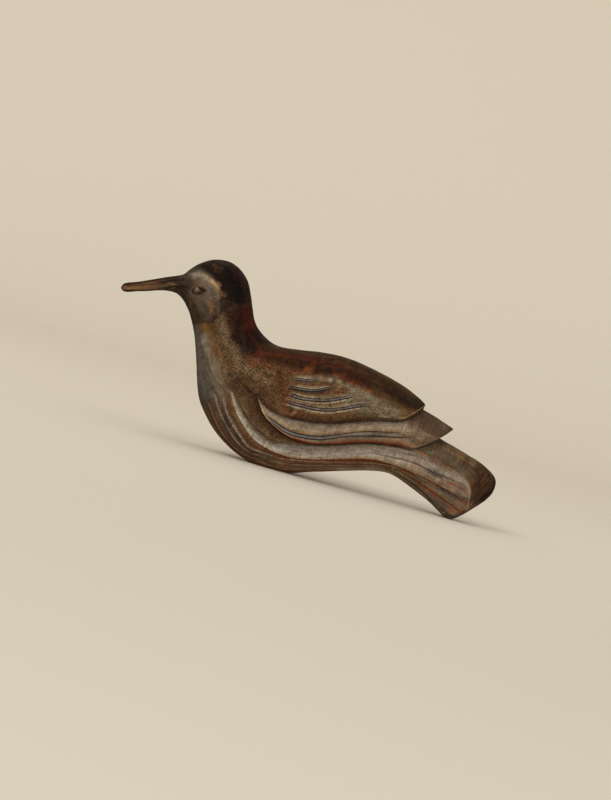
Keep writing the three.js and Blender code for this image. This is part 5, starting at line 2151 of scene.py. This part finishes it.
@dataclass(frozen=True)
class ToolMarks:
    """Shallow facets and grain left by the knife, as a node tree that moves the skin."""

    FACET_SMOOTHNESS = 0.35
    FACET_MIDDLE = 0.45
    GRAIN_SCALE = 45
    GRAIN_DETAIL = 2
    GRAIN_MIDDLE = 0.5
    LIFT = 700.0

    facet_depth: float = 0.00028
    facet_size: float = 0.0065
    grain_depth: float = 0.00012
    grain_stretch: float = 9.0
    seed: float = 3.0

    def apply(
        self, piece: bpy.types.Object, finish: bpy.types.Material, varnished: bpy.types.Material
    ) -> None:
        """Cuts the marks into a piece and leaves it a plain mesh.

        Args:
            piece: the piece.
            finish: the finish that its faces get.
            varnished: the finish of the faces that have varnish on them.
        """
        tree = bpy.data.node_groups.new("tool_marks", "GeometryNodeTree")
        sockets = (
            ("Geometry", "NodeSocketGeometry", None),
            ("Facet Depth", "NodeSocketFloat", self.facet_depth),
            ("Facet Size", "NodeSocketFloat", self.facet_size),
            ("Grain Depth", "NodeSocketFloat", self.grain_depth),
            ("Grain Stretch", "NodeSocketFloat", self.grain_stretch),
            ("Seed", "NodeSocketFloat", self.seed),
            ("Finish", "NodeSocketMaterial", finish),
            ("Varnished Finish", "NodeSocketMaterial", varnished),
        )
        keys = {}
        for name, kind, _ in sockets:
            keys[name] = tree.interface.new_socket(name, in_out="INPUT", socket_type=kind).identifier
        tree.interface.new_socket("Geometry", in_out="OUTPUT", socket_type="NodeSocketGeometry")
        self._wire(Links(tree))
        modifier = piece.modifiers.new("tool_marks", "NODES")
        modifier.node_group = tree
        for name, kind, value in sockets[1:]:
            modifier[keys[name]] = value
        depsgraph = bpy.context.evaluated_depsgraph_get()
        depsgraph.update()
        marked = bpy.data.meshes.new_from_object(piece.evaluated_get(depsgraph))
        piece.modifiers.remove(modifier)
        piece.data = marked

    def _wire(self, links: Links) -> None:
        """Joins up the tree: two noises move each point along its normal, except where the bird rests."""
        given = links.add("NodeGroupInput").outputs
        where = links.add("GeometryNodeInputPosition").outputs[0]
        normal = links.add("GeometryNodeInputNormal").outputs[0]
        seed, stretch = given["Seed"], given["Grain Stretch"]
        scale = links.math("DIVIDE", 1.0, given["Facet Size"])
        inputs = {"Vector": where, "W": seed, "Scale": scale, "Smoothness": self.FACET_SMOOTHNESS}
        facets = links.add("ShaderNodeTexVoronoi", inputs, voronoi_dimensions="4D", feature="SMOOTH_F1")
        spread = links.add("ShaderNodeCombineXYZ", {0: 1.0, 1: stretch, 2: stretch}).outputs[0]
        fibres = links.stretched(where, spread)
        inputs = {"Vector": fibres, "W": seed, "Scale": self.GRAIN_SCALE, "Detail": self.GRAIN_DETAIL}
        grain = links.add("ShaderNodeTexNoise", inputs, noise_dimensions="4D")
        facet = links.minus(facets.outputs["Distance"], self.FACET_MIDDLE)
        facet = links.times(facet, given["Facet Depth"])
        fibre = links.minus(grain.outputs[0], self.GRAIN_MIDDLE)
        fibre = links.times(fibre, given["Grain Depth"])
        height = links.add("ShaderNodeSeparateXYZ", {0: where}).outputs[2]
        lifted = links.math("MINIMUM", links.times(height, self.LIFT), 1.0)
        depth = links.times(links.plus(facet, fibre), lifted)
        move = links.add("ShaderNodeVectorMath", {0: normal, "Scale": depth}, operation="SCALE").outputs[0]
        inputs = {"Geometry": given["Geometry"], "Offset": move}
        placed = links.add("GeometryNodeSetPosition", inputs).outputs[0]
        real = links.add("GeometryNodeRealizeInstances", {0: placed}).outputs[0]
        inputs = {"Geometry": real, "Material": given["Finish"]}
        painted = links.add("GeometryNodeSetMaterial", inputs).outputs[0]
        varnish = links.add("GeometryNodeInputNamedAttribute", {"Name": "varnish"}, data_type="FLOAT")
        glossy = links.math("GREATER_THAN", varnish.outputs[0], 0.5)
        inputs = {"Geometry": painted, "Selection": glossy, "Material": given["Varnished Finish"]}
        finished = links.add("GeometryNodeSetMaterial", inputs).outputs[0]
        links.add("NodeGroupOutput", {0: finished})


def main() -> None:
    """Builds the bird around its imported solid, and the studio around the bird."""
    logging.basicConfig(level=logging.INFO, format="%(message)s")
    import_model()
    low, high = (np.array(corner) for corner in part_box(BIRD_NODE))
    bird = CarvedBird()
    piece = bird.build((low[0] + high[0]) / 2)
    coat = old_paint_group()
    ToolMarks().apply(piece, WornPaint().build(coat), EyePaint().build(coat))
    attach(piece, "root")
    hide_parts(BIRD_NODE)
    triangles = sum(len(face.vertices) - 2 for face in piece.data.polygons)
    LOG.info("%s: %d vertices, %d triangles", piece.name, len(piece.data.vertices), triangles)
    target = np.array(PICTURE_MIDDLE) * bird.outline.share
    laid = bird.rest.lay(target[None])[0] * METRES
    laid[0] += bird.shift * METRES
    Studio(lean=bird.rest.lean).build(Vector(laid))


if __name__ == "__main__":
    main()
